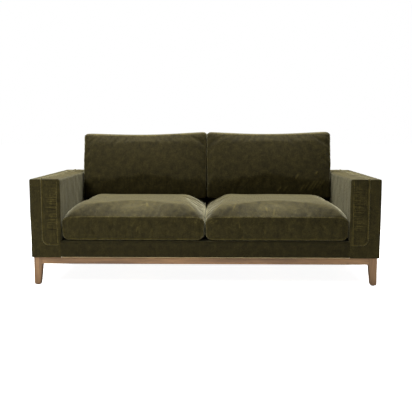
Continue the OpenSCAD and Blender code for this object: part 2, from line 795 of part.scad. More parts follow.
// Places a zip in the back boxing of the right seat cushion, mouth to the back
module in_seat_zip() {
    translate([seat_mid, inside_y - cushion_gap - zip_depth, zip_seat_z]) rotate([-90, 0, 0]) children();
}

// Places a zip in the underside of the right back cushion, mouth down
module in_back_zip() {
    translate([seat_mid, zip_back_y, back_foot_z + zip_depth]) rotate([180, 0, 0]) children();
}

module seat_zip(side) color("#57523a") on_side(side) in_seat_zip() zip_chain();

module back_zip(side) color("#57523a") on_side(side) in_back_zip() zip_chain();

module seat_zip_slider(side) color("#8b7a4a") on_side(side) in_seat_zip() zip_slider();

module back_zip_slider(side) color("#8b7a4a") on_side(side) in_back_zip() zip_slider();

base_leg(0, 0);  // leg_front_left
base_leg(1, 0);  // leg_front_right
base_leg(0, 1);  // leg_back_left
base_leg(1, 1);  // leg_back_right
leg_glides();
base_long_rail();  // base_rail_front
mirror([0, 1, 0]) base_long_rail();  // base_rail_back
mirror([1, 0, 0]) base_side_rail();  // base_rail_left
base_side_rail();  // base_rail_right
base_cross_boards();
base_dowels();
base_corner_blocks();
leg_bolts();
base_screws();
dust_cover();
seat_long_rails();
seat_side_rails();
seat_stretchers();
glue_blocks();
seat_springs();
spring_clips();
spring_tie_wires();
deck_pad();
deck_cloth();
front_foam();
front_cover();
arm_bolts();
arm_posts();
arm_rails();
arm_inner_panels();
outer_panels();
arm_wadding();
arm_pad_foam();
arm_outer_cover("left");  // arm_outer_cover_left
arm_outer_cover("right");  // arm_outer_cover_right
arm_pad_cover("left");  // arm_pad_cover_left
arm_pad_cover("right");  // arm_pad_cover_right
back_posts();
back_rails();
back_webbing();
back_foam();
back_wadding();
back_inner_cover();
back_outer_cover();
seat_cushion_cover("left");  // seat_cushion_cover_left
seat_cushion_cover("right");  // seat_cushion_cover_right
seat_cushion_filling("left");  // seat_cushion_filling_left
seat_cushion_filling("right");  // seat_cushion_filling_right
back_cushion_cover("left");  // back_cushion_cover_left
back_cushion_cover("right");  // back_cushion_cover_right
back_cushion_filling("left");  // back_cushion_filling_left
back_cushion_filling("right");  // back_cushion_filling_right
seat_zip("left");  // seat_zip_left
seat_zip("right");  // seat_zip_right
back_zip("left");  // back_zip_left
back_zip("right");  // back_zip_right
seat_zip_slider("left");  // seat_zip_slider_left
seat_zip_slider("right");  // seat_zip_slider_right
back_zip_slider("left");  // back_zip_slider_left
back_zip_slider("right");  // back_zip_slider_right
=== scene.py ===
"""A two-seat velvet sofa on an oak base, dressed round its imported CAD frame."""

from math import pi, radians

import bpy
import numpy as np
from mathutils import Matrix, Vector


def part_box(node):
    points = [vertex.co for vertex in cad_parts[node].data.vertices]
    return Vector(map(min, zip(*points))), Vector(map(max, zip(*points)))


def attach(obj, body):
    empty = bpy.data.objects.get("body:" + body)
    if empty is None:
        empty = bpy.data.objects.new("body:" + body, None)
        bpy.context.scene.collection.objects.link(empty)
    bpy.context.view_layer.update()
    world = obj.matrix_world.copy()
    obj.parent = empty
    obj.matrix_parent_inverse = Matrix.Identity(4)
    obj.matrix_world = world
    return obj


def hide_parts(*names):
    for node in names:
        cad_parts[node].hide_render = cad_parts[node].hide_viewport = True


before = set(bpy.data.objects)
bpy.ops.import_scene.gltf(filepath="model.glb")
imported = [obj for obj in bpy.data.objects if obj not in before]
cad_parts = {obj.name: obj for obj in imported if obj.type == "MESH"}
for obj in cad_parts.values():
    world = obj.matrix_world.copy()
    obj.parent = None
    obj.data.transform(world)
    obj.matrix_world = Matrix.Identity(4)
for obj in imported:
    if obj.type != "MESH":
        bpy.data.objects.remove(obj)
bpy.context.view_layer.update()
scene = bpy.context.scene

# Camera: a little right of the middle, nearly four metres in front of the arms, at the height of
# the top of the back cushions, looking slightly down.
LOOK_DOWN = 6.57
LOOK_LEFT = 1.04
camera_data = bpy.data.cameras.new("camera")
camera_data.lens = 56.8
camera_data.sensor_width = 36.0
camera = bpy.data.objects.new("camera", camera_data)
camera.location = (0.0785, -4.406, 0.945)
camera.rotation_euler = (radians(90 - LOOK_DOWN), 0, radians(LOOK_LEFT))
scene.collection.objects.link(camera)
scene.camera = camera


# Studio: a pale floor lit from below, as a light table is, a white room that adds a little fill, a
# large soft box high on the left in front and a wider one overhead.
FLOOR_GLOW = 0.93
ROOM_FILL = 0.13


def hex_rgb(code):
    """The linear RGB of an sRGB colour written as #rrggbb."""
    c = np.array([int(code[i:i + 2], 16) for i in (1, 3, 5)]) / 255
    return tuple(np.where(c <= 0.04045, c / 12.92, ((c + 0.055) / 1.055) ** 2.4)) + (1.0,)


def add_node(tree, kind, links=(), ramp=(), **settings):
    """A new node of a material's tree. links are (input, socket), ramp gives each colour stop's place and
    sRGB colour, and a setting named in_X goes to input X."""
    node = tree.nodes.new(kind)
    for number, (place, code) in enumerate(ramp):
        node.color_ramp.elements[number].position = place
        node.color_ramp.elements[number].color = hex_rgb(code)
    for name, value in settings.items():
        if name.startswith("in_"):
            key = name[3:]
            node.inputs[int(key) if key.isdigit() else key.replace("_", " ")].default_value = value
        else:
            setattr(node, name, value)
    for key, socket in links:
        tree.links.new(socket, node.inputs[key])
    return node


def new_material(name, roughness, **settings):
    """A material, its tree and its Principled shader, with the constant sockets set on the shader."""
    material = bpy.data.materials.new(name)
    material.use_nodes = True
    shader = material.node_tree.nodes["Principled BSDF"]
    shader.inputs["Roughness"].default_value = roughness
    for key, value in settings.items():
        shader.inputs[key.replace("_", " ")].default_value = value
    return material, material.node_tree, shader


floor_mesh = bpy.data.meshes.new("floor")
floor_mesh.from_pydata([(-30, -20, 0), (30, -20, 0), (30, 40, 0), (-30, 40, 0)], [], [(0, 1, 2, 3)])
floor = bpy.data.objects.new("floor", floor_mesh)
scene.collection.objects.link(floor)
floor_paint, tree, shader = new_material("floor_white_paper", 0.9, Base_Color=hex_rgb("#f4f4f3"),
                                         Emission_Color=(1, 1, 1, 1))
seen = add_node(tree, "ShaderNodeLightPath").outputs["Is Camera Ray"]
glow = add_node(tree, "ShaderNodeMath", [(0, seen)], operation="MULTIPLY", in_1=FLOOR_GLOW)
tree.links.new(glow.outputs[0], shader.inputs["Emission Strength"])
floor_mesh.materials.append(floor_paint)
scene.world = bpy.data.worlds.new("room")
scene.world.use_nodes = True
room = scene.world.node_tree
seen = add_node(room, "ShaderNodeLightPath").outputs["Is Camera Ray"]
glow = add_node(room, "ShaderNodeMapRange", [("Value", seen)], in_3=ROOM_FILL, in_4=1.0).outputs[0]
room.nodes["Background"].inputs["Color"].default_value = (1, 1, 1, 1)
room.links.new(glow, room.nodes["Background"].inputs["Strength"])
scene.view_settings.view_transform = "Standard"


def soft_box(name, place, turn, size, power):
    """A rectangular area light of a size in metres, at a place and a turn in degrees."""
    data = bpy.data.lights.new(name, "AREA")
    data.shape = "RECTANGLE"
    data.size, data.size_y = size
    data.energy = power
    light = bpy.data.objects.new(name, data)
    light.location = place
    light.rotation_euler = [radians(a) for a in turn]
    scene.collection.objects.link(light)


soft_box("key_box", (-2.4, -2.6, 3.2), (42, 0, -42), (2.2, 1.6), 150)
soft_box("top_box", (0.0, 0.75, 2.8), (-14, 0, 0), (4.6, 1.4), 330)


# Oak legs: solid oak, square at the top and tapered on the two inner faces, with a small bevel
# round the foot. They stand flush under the corners of the upholstered body.
def straight_wood(name, along, dark, pale, band_mm, line_mm, line_dark, roughness, coat):
    """Wood with its grain along X, Y or Z: growth bands and growth lines of a width, and short pores."""
    material, tree, shader = new_material(name, roughness, Coat_Weight=coat, Coat_Roughness=0.3, IOR=1.5)
    place = add_node(tree, "ShaderNodeTexCoord").outputs["Object"]
    turn = {"x": (0, 0, 0), "y": (0, 0, pi / 2), "z": (0, pi / 2, 0)}[along]
    grain = add_node(tree, "ShaderNodeMapping", [("Vector", place)], in_Rotation=turn).outputs[0]

    def stretched(length_mm, width_mm, detail):
        """Noise whose spots are so many millimetres along and across the grain."""
        scaled = add_node(tree, "ShaderNodeMapping", [("Vector", grain)],
                          in_Scale=(1000 / length_mm, 1000 / width_mm, 1000 / width_mm))
        return add_node(tree, "ShaderNodeTexNoise", [("Vector", scaled.outputs[0])],
                        in_Scale=1.0, in_Detail=detail).outputs["Fac"]

    bands = add_node(tree, "ShaderNodeValToRGB", [("Fac", stretched(16 * band_mm, band_mm, 3))],
                     ramp=[(0.32, dark), (0.68, pale)])
    lines = add_node(tree, "ShaderNodeMapRange", [("Value", stretched(70 * line_mm, line_mm, 2))],
                     in_1=0.42, in_2=0.6, in_3=line_dark, in_4=1.08).outputs[0]
    pores = add_node(tree, "ShaderNodeMapRange", [("Value", stretched(14, 0.9, 1))],
                     in_1=0.6, in_2=0.72, in_3=1.0, in_4=line_dark - 0.2).outputs[0]
    shade = add_node(tree, "ShaderNodeMath", [(0, lines), (1, pores)], operation="MULTIPLY").outputs[0]
    colour = add_node(tree, "ShaderNodeVectorMath", [(0, bands.outputs[0]), (1, shade)], operation="MULTIPLY")
    tree.links.new(colour.outputs[0], shader.inputs["Base Color"])
    rough = add_node(tree, "ShaderNodeMapRange", [("Value", lines)],
                     in_1=0.8, in_2=1.1, in_3=roughness + 0.1, in_4=roughness - 0.08)
    tree.links.new(rough.outputs[0], shader.inputs["Roughness"])
    bump = add_node(tree, "ShaderNodeBump", [("Height", shade)], in_Strength=0.35, in_Distance=0.0004)
    tree.links.new(bump.outputs[0], shader.inputs["Normal"])
    return material


ROUND_TURNS = 3  # steps of the lattice round a quarter of an edge's rounding


def ticks(lo, hi, radius, step, turns=ROUND_TURNS):
    """Grid lines along one side: even turns in the rounded ends, even steps of about step between."""
    bend = radius * np.tan(np.linspace(0, pi / 4, turns + 1))
    flat = np.linspace(lo + radius, hi - radius, max(2, int(round((hi - lo - 2 * radius) / step)) + 1))
    return np.r_[lo + radius - bend[::-1], flat[1:-1], hi - radius + bend]


def box_lattice(*lines):
    """The surface of a box as a grid: every crossing of the given X, Y and Z lines on the six faces,
    merged where faces meet. Returns the points, the quads winding outwards and each point's (i, j, k)."""
    quads = []
    for axis in range(3):
        u, v = (axis + 1) % 3, (axis + 2) % 3
        i, j = (g.ravel() for g in np.meshgrid(np.arange(len(lines[u]) - 1),
                                                np.arange(len(lines[v]) - 1), indexing="ij"))
        for end in (0, 1):
            corners = np.zeros((len(i), 4, 3), int)
            corners[:, :, axis] = end * (len(lines[axis]) - 1)
            corners[:, :, u] = i[:, None] + [0, 1, 1, 0]
            corners[:, :, v] = j[:, None] + [0, 0, 1, 1]
            quads.append(corners if end else corners[:, ::-1])
    corners = np.concatenate(quads)
    index, inverse = np.unique(corners.reshape(-1, 3), axis=0, return_inverse=True)
    points = np.stack([np.asarray(lines[a])[index[:, a]] for a in range(3)], axis=1)
    return points, inverse.reshape(-1, 4), index


def rounded(points, lo, hi, radius):
    """Box points pulled onto rounded edges: each is moved towards the box's core, shrunk by the
    radius, until it is one radius away from it. The radius may differ along X, Y and Z."""
    core = np.clip(points, np.array(lo) + radius, np.array(hi) - radius)
    out = (points - core) / radius
    return core + radius * out / np.linalg.norm(out, axis=1, keepdims=True)


def make_piece(name, points, faces, material, wear_and_highlight=None):
    """A smooth-shaded mesh object at the origin, from points in metres and faces winding outwards.
    The last argument says at each point how much paler the velvet is drawn there: partly crushed pile, partly
    a painted highlight."""
    mesh = bpy.data.meshes.new(name)
    mesh.from_pydata(points, [], faces)
    mesh.materials.append(material)
    mesh.polygons.foreach_set("use_smooth", np.ones(len(faces), bool))
    if wear_and_highlight is not None:
        mesh.attributes.new("wear_and_highlight", "FLOAT", "POINT").data.foreach_set("value", wear_and_highlight)
    obj = bpy.data.objects.new(name, mesh)
    scene.collection.objects.link(obj)
    return obj


LEG_FOOT = 0.038
LEG_BEVEL = 0.004
LEG_EDGE = 0.002
rail_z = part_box("base_rail_front")[0].z
# Lacquered oak: a warm mid brown with darker growth bands, open pores and a satin skin.
oak_look = ("#634627", "#8f6b42", 22, 2.0, 0.80, 0.50, 0.08)
oak_upright = straight_wood("lacquered_oak_upright", "z", *oak_look)
for node in ("leg_front_left", "leg_front_right", "leg_back_left", "leg_back_right"):
    lo, hi = (np.array(v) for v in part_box(node))
    points, faces, _ = box_lattice(*(ticks(lo[a], hi[a], LEG_EDGE, step=0.01) for a in range(3)))
    points = rounded(points, lo, hi, LEG_EDGE)
    # The inner faces slope in from the rails' underside to the foot, and the foot is bevelled.
    outer = np.where(lo[:2] < 0, lo[:2], hi[:2])
    fall = np.clip((rail_z - points[:, 2]) / (rail_z - lo[2]), 0, 1)
    foot = np.clip(1 - (points[:, 2] - lo[2]) / LEG_BEVEL, 0, 1)
    width = hi[0] - lo[0]
    share = 1 - fall * (width - LEG_FOOT) / width
    points[:, :2] = outer + (points[:, :2] - outer) * share[:, None]
    middle = outer - np.sign(outer) * width * share[:, None] / 2
    points[:, :2] = middle + (points[:, :2] - middle) * (1 - 2 * LEG_BEVEL / width * foot)[:, None]
    leg = make_piece("oak_" + node, points, faces, oak_upright)
    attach(leg, "frame")
    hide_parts(node)


# Oak rails: four straight boards with eased edges, of the same lacquered oak as the legs. They are
# dowelled into the legs, just behind the legs' faces.
RAIL_EDGE = 0.0015
oak_across = straight_wood("lacquered_oak_across", "x", *oak_look)
oak_deep = straight_wood("lacquered_oak_deep", "y", *oak_look)
for node in ("base_rail_front", "base_rail_back", "base_rail_left", "base_rail_right"):
    lo, hi = (np.array(v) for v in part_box(node))
    steps = (0.05, 0.05, 0.012)
    points, faces, _ = box_lattice(*(ticks(lo[a], hi[a], RAIL_EDGE, steps[a]) for a in range(3)))
    wood = oak_across if hi[0] - lo[0] > 1 else oak_deep
    rail = make_piece("oak_" + node, rounded(points, lo, hi, RAIL_EDGE), faces, wood)
    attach(rail, "frame")
    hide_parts(node)


# Glides: small moulded nylon discs under the feet, near black, that let the sofa slide. The mould's
# spark-eroded face leaves them matt with a fine grit.
nylon, tree, shader = new_material("moulded_black_nylon", 0.42, Base_Color=hex_rgb("#1f1c1a"), IOR=1.53)
place = add_node(tree, "ShaderNodeTexCoord").outputs["Object"]
grit = add_node(tree, "ShaderNodeTexNoise", [("Vector", place)], in_Scale=900.0, in_Detail=3.0)
bump = add_node(tree, "ShaderNodeBump", [("Height", grit.outputs["Fac"])],
                in_Strength=0.2, in_Distance=0.0003)
tree.links.new(bump.outputs[0], shader.inputs["Normal"])


def wear(material, *nodes):
    """Gives CAD nodes that keep their own shape their finish."""
    for node in nodes:
        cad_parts[node].data.materials.clear()
        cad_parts[node].data.materials.append(material)


wear(nylon, "leg_glides")


# Cover of the front rail: velvet over foam on the seat's front rail. It laps back over the deck and
# is stapled under the frame.
TOP_PAINTED_LIGHT = 1.55  # painted light: how much paler level faces are drawn
SIDE_PAINTED_SHADE = 0.92  # painted shade: and how much darker upright ones are drawn
WEAR_AND_HIGHLIGHT_PALE = 3.2  # and how much paler where the mesh marks crushed pile and painted highlights


def cotton_velvet(name, shade=1.0, streaks=0.12, sheen=0.75):
    """Olive cotton velvet: a dark pile with worn, lighter patches, flecks and brushed streaks, painted paler
    on level faces and darker on upright ones, and paler where the mesh marks crushed pile and painted
    highlights.
    """
    # Short dense pile: dark seen end on and pale at grazing angles, from the strong sheen.
    material, tree, shader = new_material(name, 0.85, Sheen_Weight=sheen, Sheen_Roughness=0.30,
                                          Sheen_Tint=hex_rgb("#d8d3b2"), Specular_IOR_Level=0.1)
    place = add_node(tree, "ShaderNodeTexCoord").outputs["Object"]
    # Patches 38 mm across where the pile leans another way, and flecks of about 5 mm.
    patches = add_node(tree, "ShaderNodeTexNoise", [("Vector", place)],
                       in_Scale=1000 / 38, in_Detail=5.0, in_Roughness=0.7).outputs["Fac"]
    flecks = add_node(tree, "ShaderNodeTexNoise", [("Vector", place)],
                      in_Scale=1000 / 5, in_Detail=2.0).outputs["Fac"]
    # Streaks left by brushing the pile: 9 mm wide and 120 mm high.
    brushed = add_node(tree, "ShaderNodeMapping", [("Vector", place)],
                       in_Scale=(1000 / 9, 1000 / 9, 1000 / 120)).outputs[0]
    strokes = add_node(tree, "ShaderNodeTexNoise", [("Vector", brushed)], in_Scale=1.0, in_Detail=2.0)
    patch_shade = add_node(tree, "ShaderNodeMapRange", [("Value", patches)],
                           in_1=0.3, in_2=0.7, in_3=0.62, in_4=1.48).outputs[0]
    fleck_shade = add_node(tree, "ShaderNodeMapRange", [("Value", flecks)],
                           in_1=0.3, in_2=0.7, in_3=0.60, in_4=1.48).outputs[0]
    stroke_shade = add_node(tree, "ShaderNodeMapRange", [("Value", strokes.outputs["Fac"])],
                            in_1=0.3, in_2=0.7, in_3=1 - streaks, in_4=1 + streaks).outputs[0]
    pile = add_node(tree, "ShaderNodeMath", [(0, patch_shade), (1, fleck_shade)], operation="MULTIPLY")
    pile = add_node(tree, "ShaderNodeMath", [(0, pile.outputs[0]), (1, stroke_shade)], operation="MULTIPLY")
    # Painted light and shade: level faces are drawn paler and upright ones darker, as the light falls on
    # them.
    facing = add_node(tree, "ShaderNodeTexCoord").outputs["Normal"]
    up = add_node(tree, "ShaderNodeSeparateXYZ", [(0, facing)])
    lean = add_node(tree, "ShaderNodeMapRange", [("Value", up.outputs["Z"])],
                    interpolation_type="SMOOTHSTEP", in_1=0.75, in_3=SIDE_PAINTED_SHADE, in_4=TOP_PAINTED_LIGHT).outputs[0]
    pile = add_node(tree, "ShaderNodeMath", [(0, pile.outputs[0]), (1, lean)], operation="MULTIPLY")
    # Along seams, on creases and on gathers' crests the velvet is drawn paler: partly crushed pile, partly a
    # painted highlight.
    paling = add_node(tree, "ShaderNodeAttribute", attribute_name="wear_and_highlight").outputs["Fac"]
    pale = add_node(tree, "ShaderNodeMapRange", [("Value", paling)], in_3=1.0, in_4=WEAR_AND_HIGHLIGHT_PALE).outputs[0]
    pile = add_node(tree, "ShaderNodeMath", [(0, pile.outputs[0]), (1, pale)], operation="MULTIPLY")
    tone = add_node(tree, "ShaderNodeVectorMath", [("Scale", pile.outputs[0])], operation="SCALE",
                    in_0=[shade * c for c in hex_rgb("#2a250f")[:3]])
    tree.links.new(tone.outputs[0], shader.inputs["Base Color"])
    # The pile itself is 0.3 mm thick tufts; they are drawn 2 mm apart, as fine as the render shows.
    tufts = add_node(tree, "ShaderNodeTexNoise", [("Vector", place)], in_Scale=1000 / 2, in_Detail=1.0)
    height = add_node(tree, "ShaderNodeMath", [(0, patches), (1, tufts.outputs["Fac"])], operation="ADD")
    bump = add_node(tree, "ShaderNodeBump", [("Height", height.outputs[0])],
                    in_Strength=0.5, in_Distance=0.001)
    tree.links.new(bump.outputs[0], shader.inputs["Normal"])
    return material


velvet = cotton_velvet("olive_cotton_velvet")
# The welts are the same velvet drawn twice as pale: a painted highlight, for their ridges catching the light.
velvet_welt_highlight = cotton_velvet("olive_velvet_welt_painted_highlight", shade=2.0)
velvet_back = cotton_velvet("olive_velvet_nap_up", shade=1.05, sheen=0.5)
# The front rail's velvet is drawn a quarter darker: painted shade, for the shadow under the seat cushions'
# front edges.
velvet_rail_painted_shade = cotton_velvet("olive_velvet_rail_painted_shade", shade=0.75, sheen=0.6)
velvet_arm = cotton_velvet("olive_velvet_nap_down", streaks=0.25, sheen=0.3)


def ripples(points, wavelength, seed):
    """A smooth random field between about -1 and 1: sine waves of roughly one length in random ways."""
    rng = np.random.default_rng(seed)
    ways = rng.normal(size=(16, 3))
    ways *= (2 * pi / wavelength * rng.uniform(0.6, 1.5, 16) / np.linalg.norm(ways, axis=1))[:, None]
    return np.sin(points @ ways.T + rng.uniform(0, 2 * pi, 16)).mean(axis=1) * 2.2


def kept_faces(points, faces, keep):
    """The kept quads of a mesh and only the points that they use."""
    used, inverse = np.unique(faces[keep], return_inverse=True)
    return points[used], inverse.reshape(-1, 4)


def thicken(obj, thickness):
    """Gives a cover the thickness of its cloth, inwards from its face."""
    shell = obj.modifiers.new("cloth_thickness", "SOLIDIFY")
    shell.thickness = thickness
    shell.offset = -1
    shell.use_even_offset = True


CLOTH_T = 0.0018
FULLNESS = 0.0015  # how far the covers stand out over their wadding
BOTTOM_TURN = 0.006  # part of the bottom edge's rounding that is left off, where the cover ends
FRONT_TUCK = 0.006  # how far its ends go behind the arms' covers
lo, hi = (np.array(v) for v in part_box("front_cover"))
radius = np.array([0.004, 0.014, 0.016])
lo -= (FRONT_TUCK, FULLNESS, BOTTOM_TURN)
hi += (FRONT_TUCK, radius[1], 0)
points, faces, index = box_lattice(*(ticks(lo[a], hi[a], radius[a], step=0.012) for a in range(3)))
# The rounding behind is left off, so that the cover meets the deck flat, and so is the underside.
behind = index[faces][:, :, 1].min(1) >= index[:, 1].max() - ROUND_TURNS
under = index[faces][:, :, 2].max(1) < 2
points = rounded(points, lo, hi, radius)
points[:, 1] -= 0.0012 * ripples(points, wavelength=0.16, seed=3) * (points[:, 1] < lo[1] + 0.02)
front = make_piece("front_rail_cover", *kept_faces(points, faces, ~(behind | under)), velvet_rail_painted_shade)
thicken(front, CLOTH_T)
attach(front, "frame")
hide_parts("front_cover")


# Outer covers of the arms: velvet over wadding on the timber frame, running round the outside, the
# top and both ends, with a lower strip at the front that goes on below the padded panel.
def mirrored(points, faces, side):
    """A shape made for the right arm, or its mirror image for the left one."""
    if side == "right":
        return points, faces
    return points * (-1, 1, 1), faces[:, ::-1]


UNDER_PAD = 0.03  # how far it runs on under the padded panel
pad_lo, pad_hi = (np.array(v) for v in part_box("arm_pad_cover_right"))
for side in ("left", "right"):
    node = "arm_outer_cover_" + side
    lo, hi = (np.array(v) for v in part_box("arm_outer_cover_right"))
    lo -= (0, FULLNESS, BOTTOM_TURN)
    hi += FULLNESS
    radius = np.array([0.010, 0.009, 0.010])
    points, faces, index = box_lattice(*(ticks(lo[a], hi[a], radius[a], step=0.011) for a in range(3)))
    middle = points[faces].mean(axis=1)
    under_pad = (middle[:, 0] < pad_hi[0] - UNDER_PAD) & (middle[:, 2] > pad_lo[2] + UNDER_PAD)
    open_side = (index[faces][:, :, 0].max(1) == 0) | (index[faces][:, :, 2].max(1) < 2)
    points = rounded(points, lo, hi, radius)
    wave = 0.0013 * ripples(points, wavelength=0.2, seed=11 if side == "left" else 12)
    points[:, 0] += wave * (points[:, 0] > hi[0] - 0.02)
    points[:, 1] += wave * np.sign(points[:, 1]) * (np.abs(points[:, 1]) > hi[1] - 0.02)
    points, faces = kept_faces(points, faces, ~(under_pad | open_side))
    # A pale line, 3 mm to each side, marks the seam where the front rail's cover meets it: partly crushed
    # pile, partly a painted highlight.
    seam_wear_and_highlight = 0.6 * np.exp(-((points[:, 0] - lo[0]) / 0.003) ** 2) * (points[:, 1] < 0)
    cover = make_piece("velvet_" + node, *mirrored(points, faces, side), velvet, seam_wear_and_highlight)
    thicken(cover, CLOTH_T)
    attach(cover, "frame")
    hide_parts(node)


# Padded arm panels: foam under velvet on the inner two thirds of each arm, from the seat to the
# top. The front panel between its two seams is gathered, and its lower outer corner is round.
def welt(path, out, radius):
    """A round cord along a path: rings whose first axis is the direction out of the cloth, with ends
    that shrink to a small disc. Returns its points and faces."""
    along = np.gradient(path, axis=0)
    along /= np.linalg.norm(along, axis=1, keepdims=True)
    out = out - (out * along).sum(axis=1, keepdims=True) * along
    out /= np.linalg.norm(out, axis=1, keepdims=True)
    across = np.cross(along, out)
    sides = 10
    turn = np.arange(sides) * 2 * pi / sides
    step = np.r_[0, np.cumsum(np.linalg.norm(np.diff(path, axis=0), axis=1))]
    end = np.minimum(step, step[-1] - step)
    size = radius * np.sqrt(1 - (1 - np.clip(end / (3 * radius), 0.02, 1)) ** 2)
    ring = out[:, None] * np.cos(turn)[:, None] + across[:, None] * np.sin(turn)[:, None]
    points = (path[:, None] + ring * size[:, None, None]).reshape(-1, 3)
    i, j = (g.ravel() for g in np.meshgrid(np.arange(len(path) - 1), np.arange(sides), indexing="ij"))
    k = (j + 1) % sides
    quads = np.stack([i * sides + j, i * sides + k, (i + 1) * sides + k, (i + 1) * sides + j], axis=1)
    caps = [list(range(sides))[::-1], list(range(len(points) - sides, len(points)))]
    return points, quads.tolist() + caps


def together(*parts):
    """Several (points, faces) as one."""
    starts = np.cumsum([0] + [len(points) for points, _ in parts])
    faces = [[start + n for n in face] for start, (_, found) in zip(starts, parts) for face in found]
    return np.concatenate([points for points, _ in parts]), faces


CORNER_R = 0.040
SEAM_X = pad_lo[0] + 0.020  # the seam near the inner edge of the front panel
PANEL_DOME = 0.004  # how far the front panel stands out between its seams
GATHERS = 21
GATHER_DEPTH = 0.0065  # of the deepest one
LOWEST_GATHER = 0.335  # above the floor; each next one is 9 to 17 mm higher
GROOVE_W = 0.0034
CREST_W = 0.003
CREST_RISE = 0.0065  # from a gather's groove to its crest
TOP_BEND = 0.010  # radius of the outer seam's way over the top edge
for side in ("left", "right"):
    rng = np.random.default_rng(21 if side == "left" else 22)
    lo, hi = pad_lo + (0, -0.003, 0), pad_hi + (0.002, 0.001, 0.002)
    radius = np.array([0.015, 0.008, 0.015])
    points, faces, _ = box_lattice(ticks(lo[0], hi[0], radius[0], step=0.0045),
                                   ticks(lo[1], hi[1], radius[1], step=0.014),
                                   ticks(lo[2], hi[2], radius[2], step=0.0026))
    points = rounded(points, lo, hi, radius)
    # The lower outer corner is a quarter circle, seen from the front.
    drop = np.clip(CORNER_R - (points[:, 2] - lo[2]), 0, CORNER_R)
    cut = CORNER_R - np.sqrt(CORNER_R ** 2 - drop ** 2)
    points[:, 0] = lo[0] + (points[:, 0] - lo[0]) * (1 - cut / (hi[0] - lo[0]))
    at_front = np.clip((lo[1] + 0.012 - points[:, 1]) / 0.008, 0, 1)
    in_panel = np.clip((points[:, 0] - SEAM_X) / (hi[0] - SEAM_X), 0, 1)
    dome = PANEL_DOME * (4 * in_panel * (1 - in_panel)) ** 0.6
    # Each gather is a groove that starts at the seam, slopes a little and fades outwards. They grow shallower
    # near the top, and the crest over each groove is drawn pale: partly crushed pile, partly a painted
    # highlight.
    places = np.cumsum(rng.uniform(0.009, 0.017, GATHERS)) + LOWEST_GATHER
    slope = rng.uniform(-0.14, 0.14, GATHERS)
    reach = rng.uniform(0.045, 0.075, GATHERS)
    depth = rng.uniform(0.0035, GATHER_DEPTH, GATHERS) * np.clip((0.62 - places) / 0.06, 0.25, 1)
    from_seam = points[:, 0] - SEAM_X
    above = points[:, 2:] - places - slope * from_seam[:, None]
    fade = np.clip(1 - np.abs(from_seam[:, None]) / reach, 0, 1) ** 0.5 * (from_seam[:, None] > 0)
    grooves = (depth * np.exp(-(above / GROOVE_W) ** 2) * fade).sum(axis=1)
    crests = (depth / GATHER_DEPTH * np.exp(-((above - CREST_RISE) / CREST_W) ** 2) * fade).sum(axis=1)
    points[:, 1] -= at_front * (dome - grooves)
    rim = np.minimum(hi[0] - cut - points[:, 0], points[:, 2] - lo[2])
    paling = 1.0 if side == "left" else 0.45  # the crests are drawn paler on the left arm than on the right
    # Painted highlight with crushed pile: the crests, a band along the outer and lower edges and a fainter
    # one along the inner seam are drawn paler.
    wear_and_highlight = paling * crests + 0.3 * np.exp(-(rim / 0.008) ** 2) + 0.1 * np.exp(-(from_seam / 0.004) ** 2)
    # The inner face and the top are a little uneven.
    inner = np.clip((lo[0] + 0.010 - points[:, 0]) / 0.008, 0, 1)
    points[:, 0] += inner * 0.0012 * ripples(points, wavelength=0.11, seed=31)
    points[:, 2] += 0.0012 * ripples(points, wavelength=0.15, seed=32) * (points[:, 2] > hi[2] - 0.01)
    pad = make_piece("velvet_arm_pad_" + side, *mirrored(points, faces, side), velvet_arm, at_front * wear_and_highlight)
    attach(pad, "frame")
    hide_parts("arm_pad_cover_" + side)

    # The outer seam runs up from the lower corner, over the top edge and back along the arm.
    bend = np.linspace(0, pi / 2, 14)
    front_y, top_z, outer_x, low_z = lo[1] + 0.001, hi[2] + 0.0005, hi[0] - 0.001, lo[2] + 0.002
    low = np.linspace((pad_lo[0] + 0.012, low_z), (outer_x - CORNER_R, low_z), 16)
    turn = np.stack([outer_x - CORNER_R * (1 - np.sin(bend)), low_z + CORNER_R * (1 - np.cos(bend))], axis=1)
    up = np.linspace((outer_x, lo[2] + CORNER_R + 0.004), (outer_x, top_z - 0.012), 60)
    rise = np.insert(np.concatenate([low, turn, up]), 1, front_y, axis=1)
    bend = bend[2:12]
    over = np.stack([np.full(10, outer_x), front_y + TOP_BEND * (1 - np.cos(bend)),
                     top_z - TOP_BEND + TOP_BEND * np.sin(bend)], axis=1)
    back = np.linspace((outer_x, front_y + 0.014, top_z), (outer_x, hi[1] - 0.010, top_z), 80)
    path = np.concatenate([rise, over, back])
    face_out = np.zeros_like(path)
    face_out[:, 1] = -np.clip((top_z - path[:, 2]) / TOP_BEND, 0, 1)
    face_out[:, 2] = 1 + face_out[:, 1]
    face_out[:, 0] = 0.15  # a little outwards, as the cord lies in the corner of the panel
    # The inner seam runs straight up the front, beside the gathers.
    line_y = lo[1] + 0.0012
    line = np.linspace((SEAM_X, line_y, lo[2] + 0.010), (SEAM_X, line_y, hi[2] - 0.010), 70)
    flip = (-1, 1, 1) if side == "left" else (1, 1, 1)
    cords = together(welt(path * flip, face_out * flip, radius=0.0048),
                     welt(line * flip, np.tile([0.0, -1.0, 0.0], (len(line), 1)), radius=0.0034))
    seams = make_piece("velvet_arm_seams_" + side, *cords, velvet_welt_highlight)
    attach(seams, "frame")


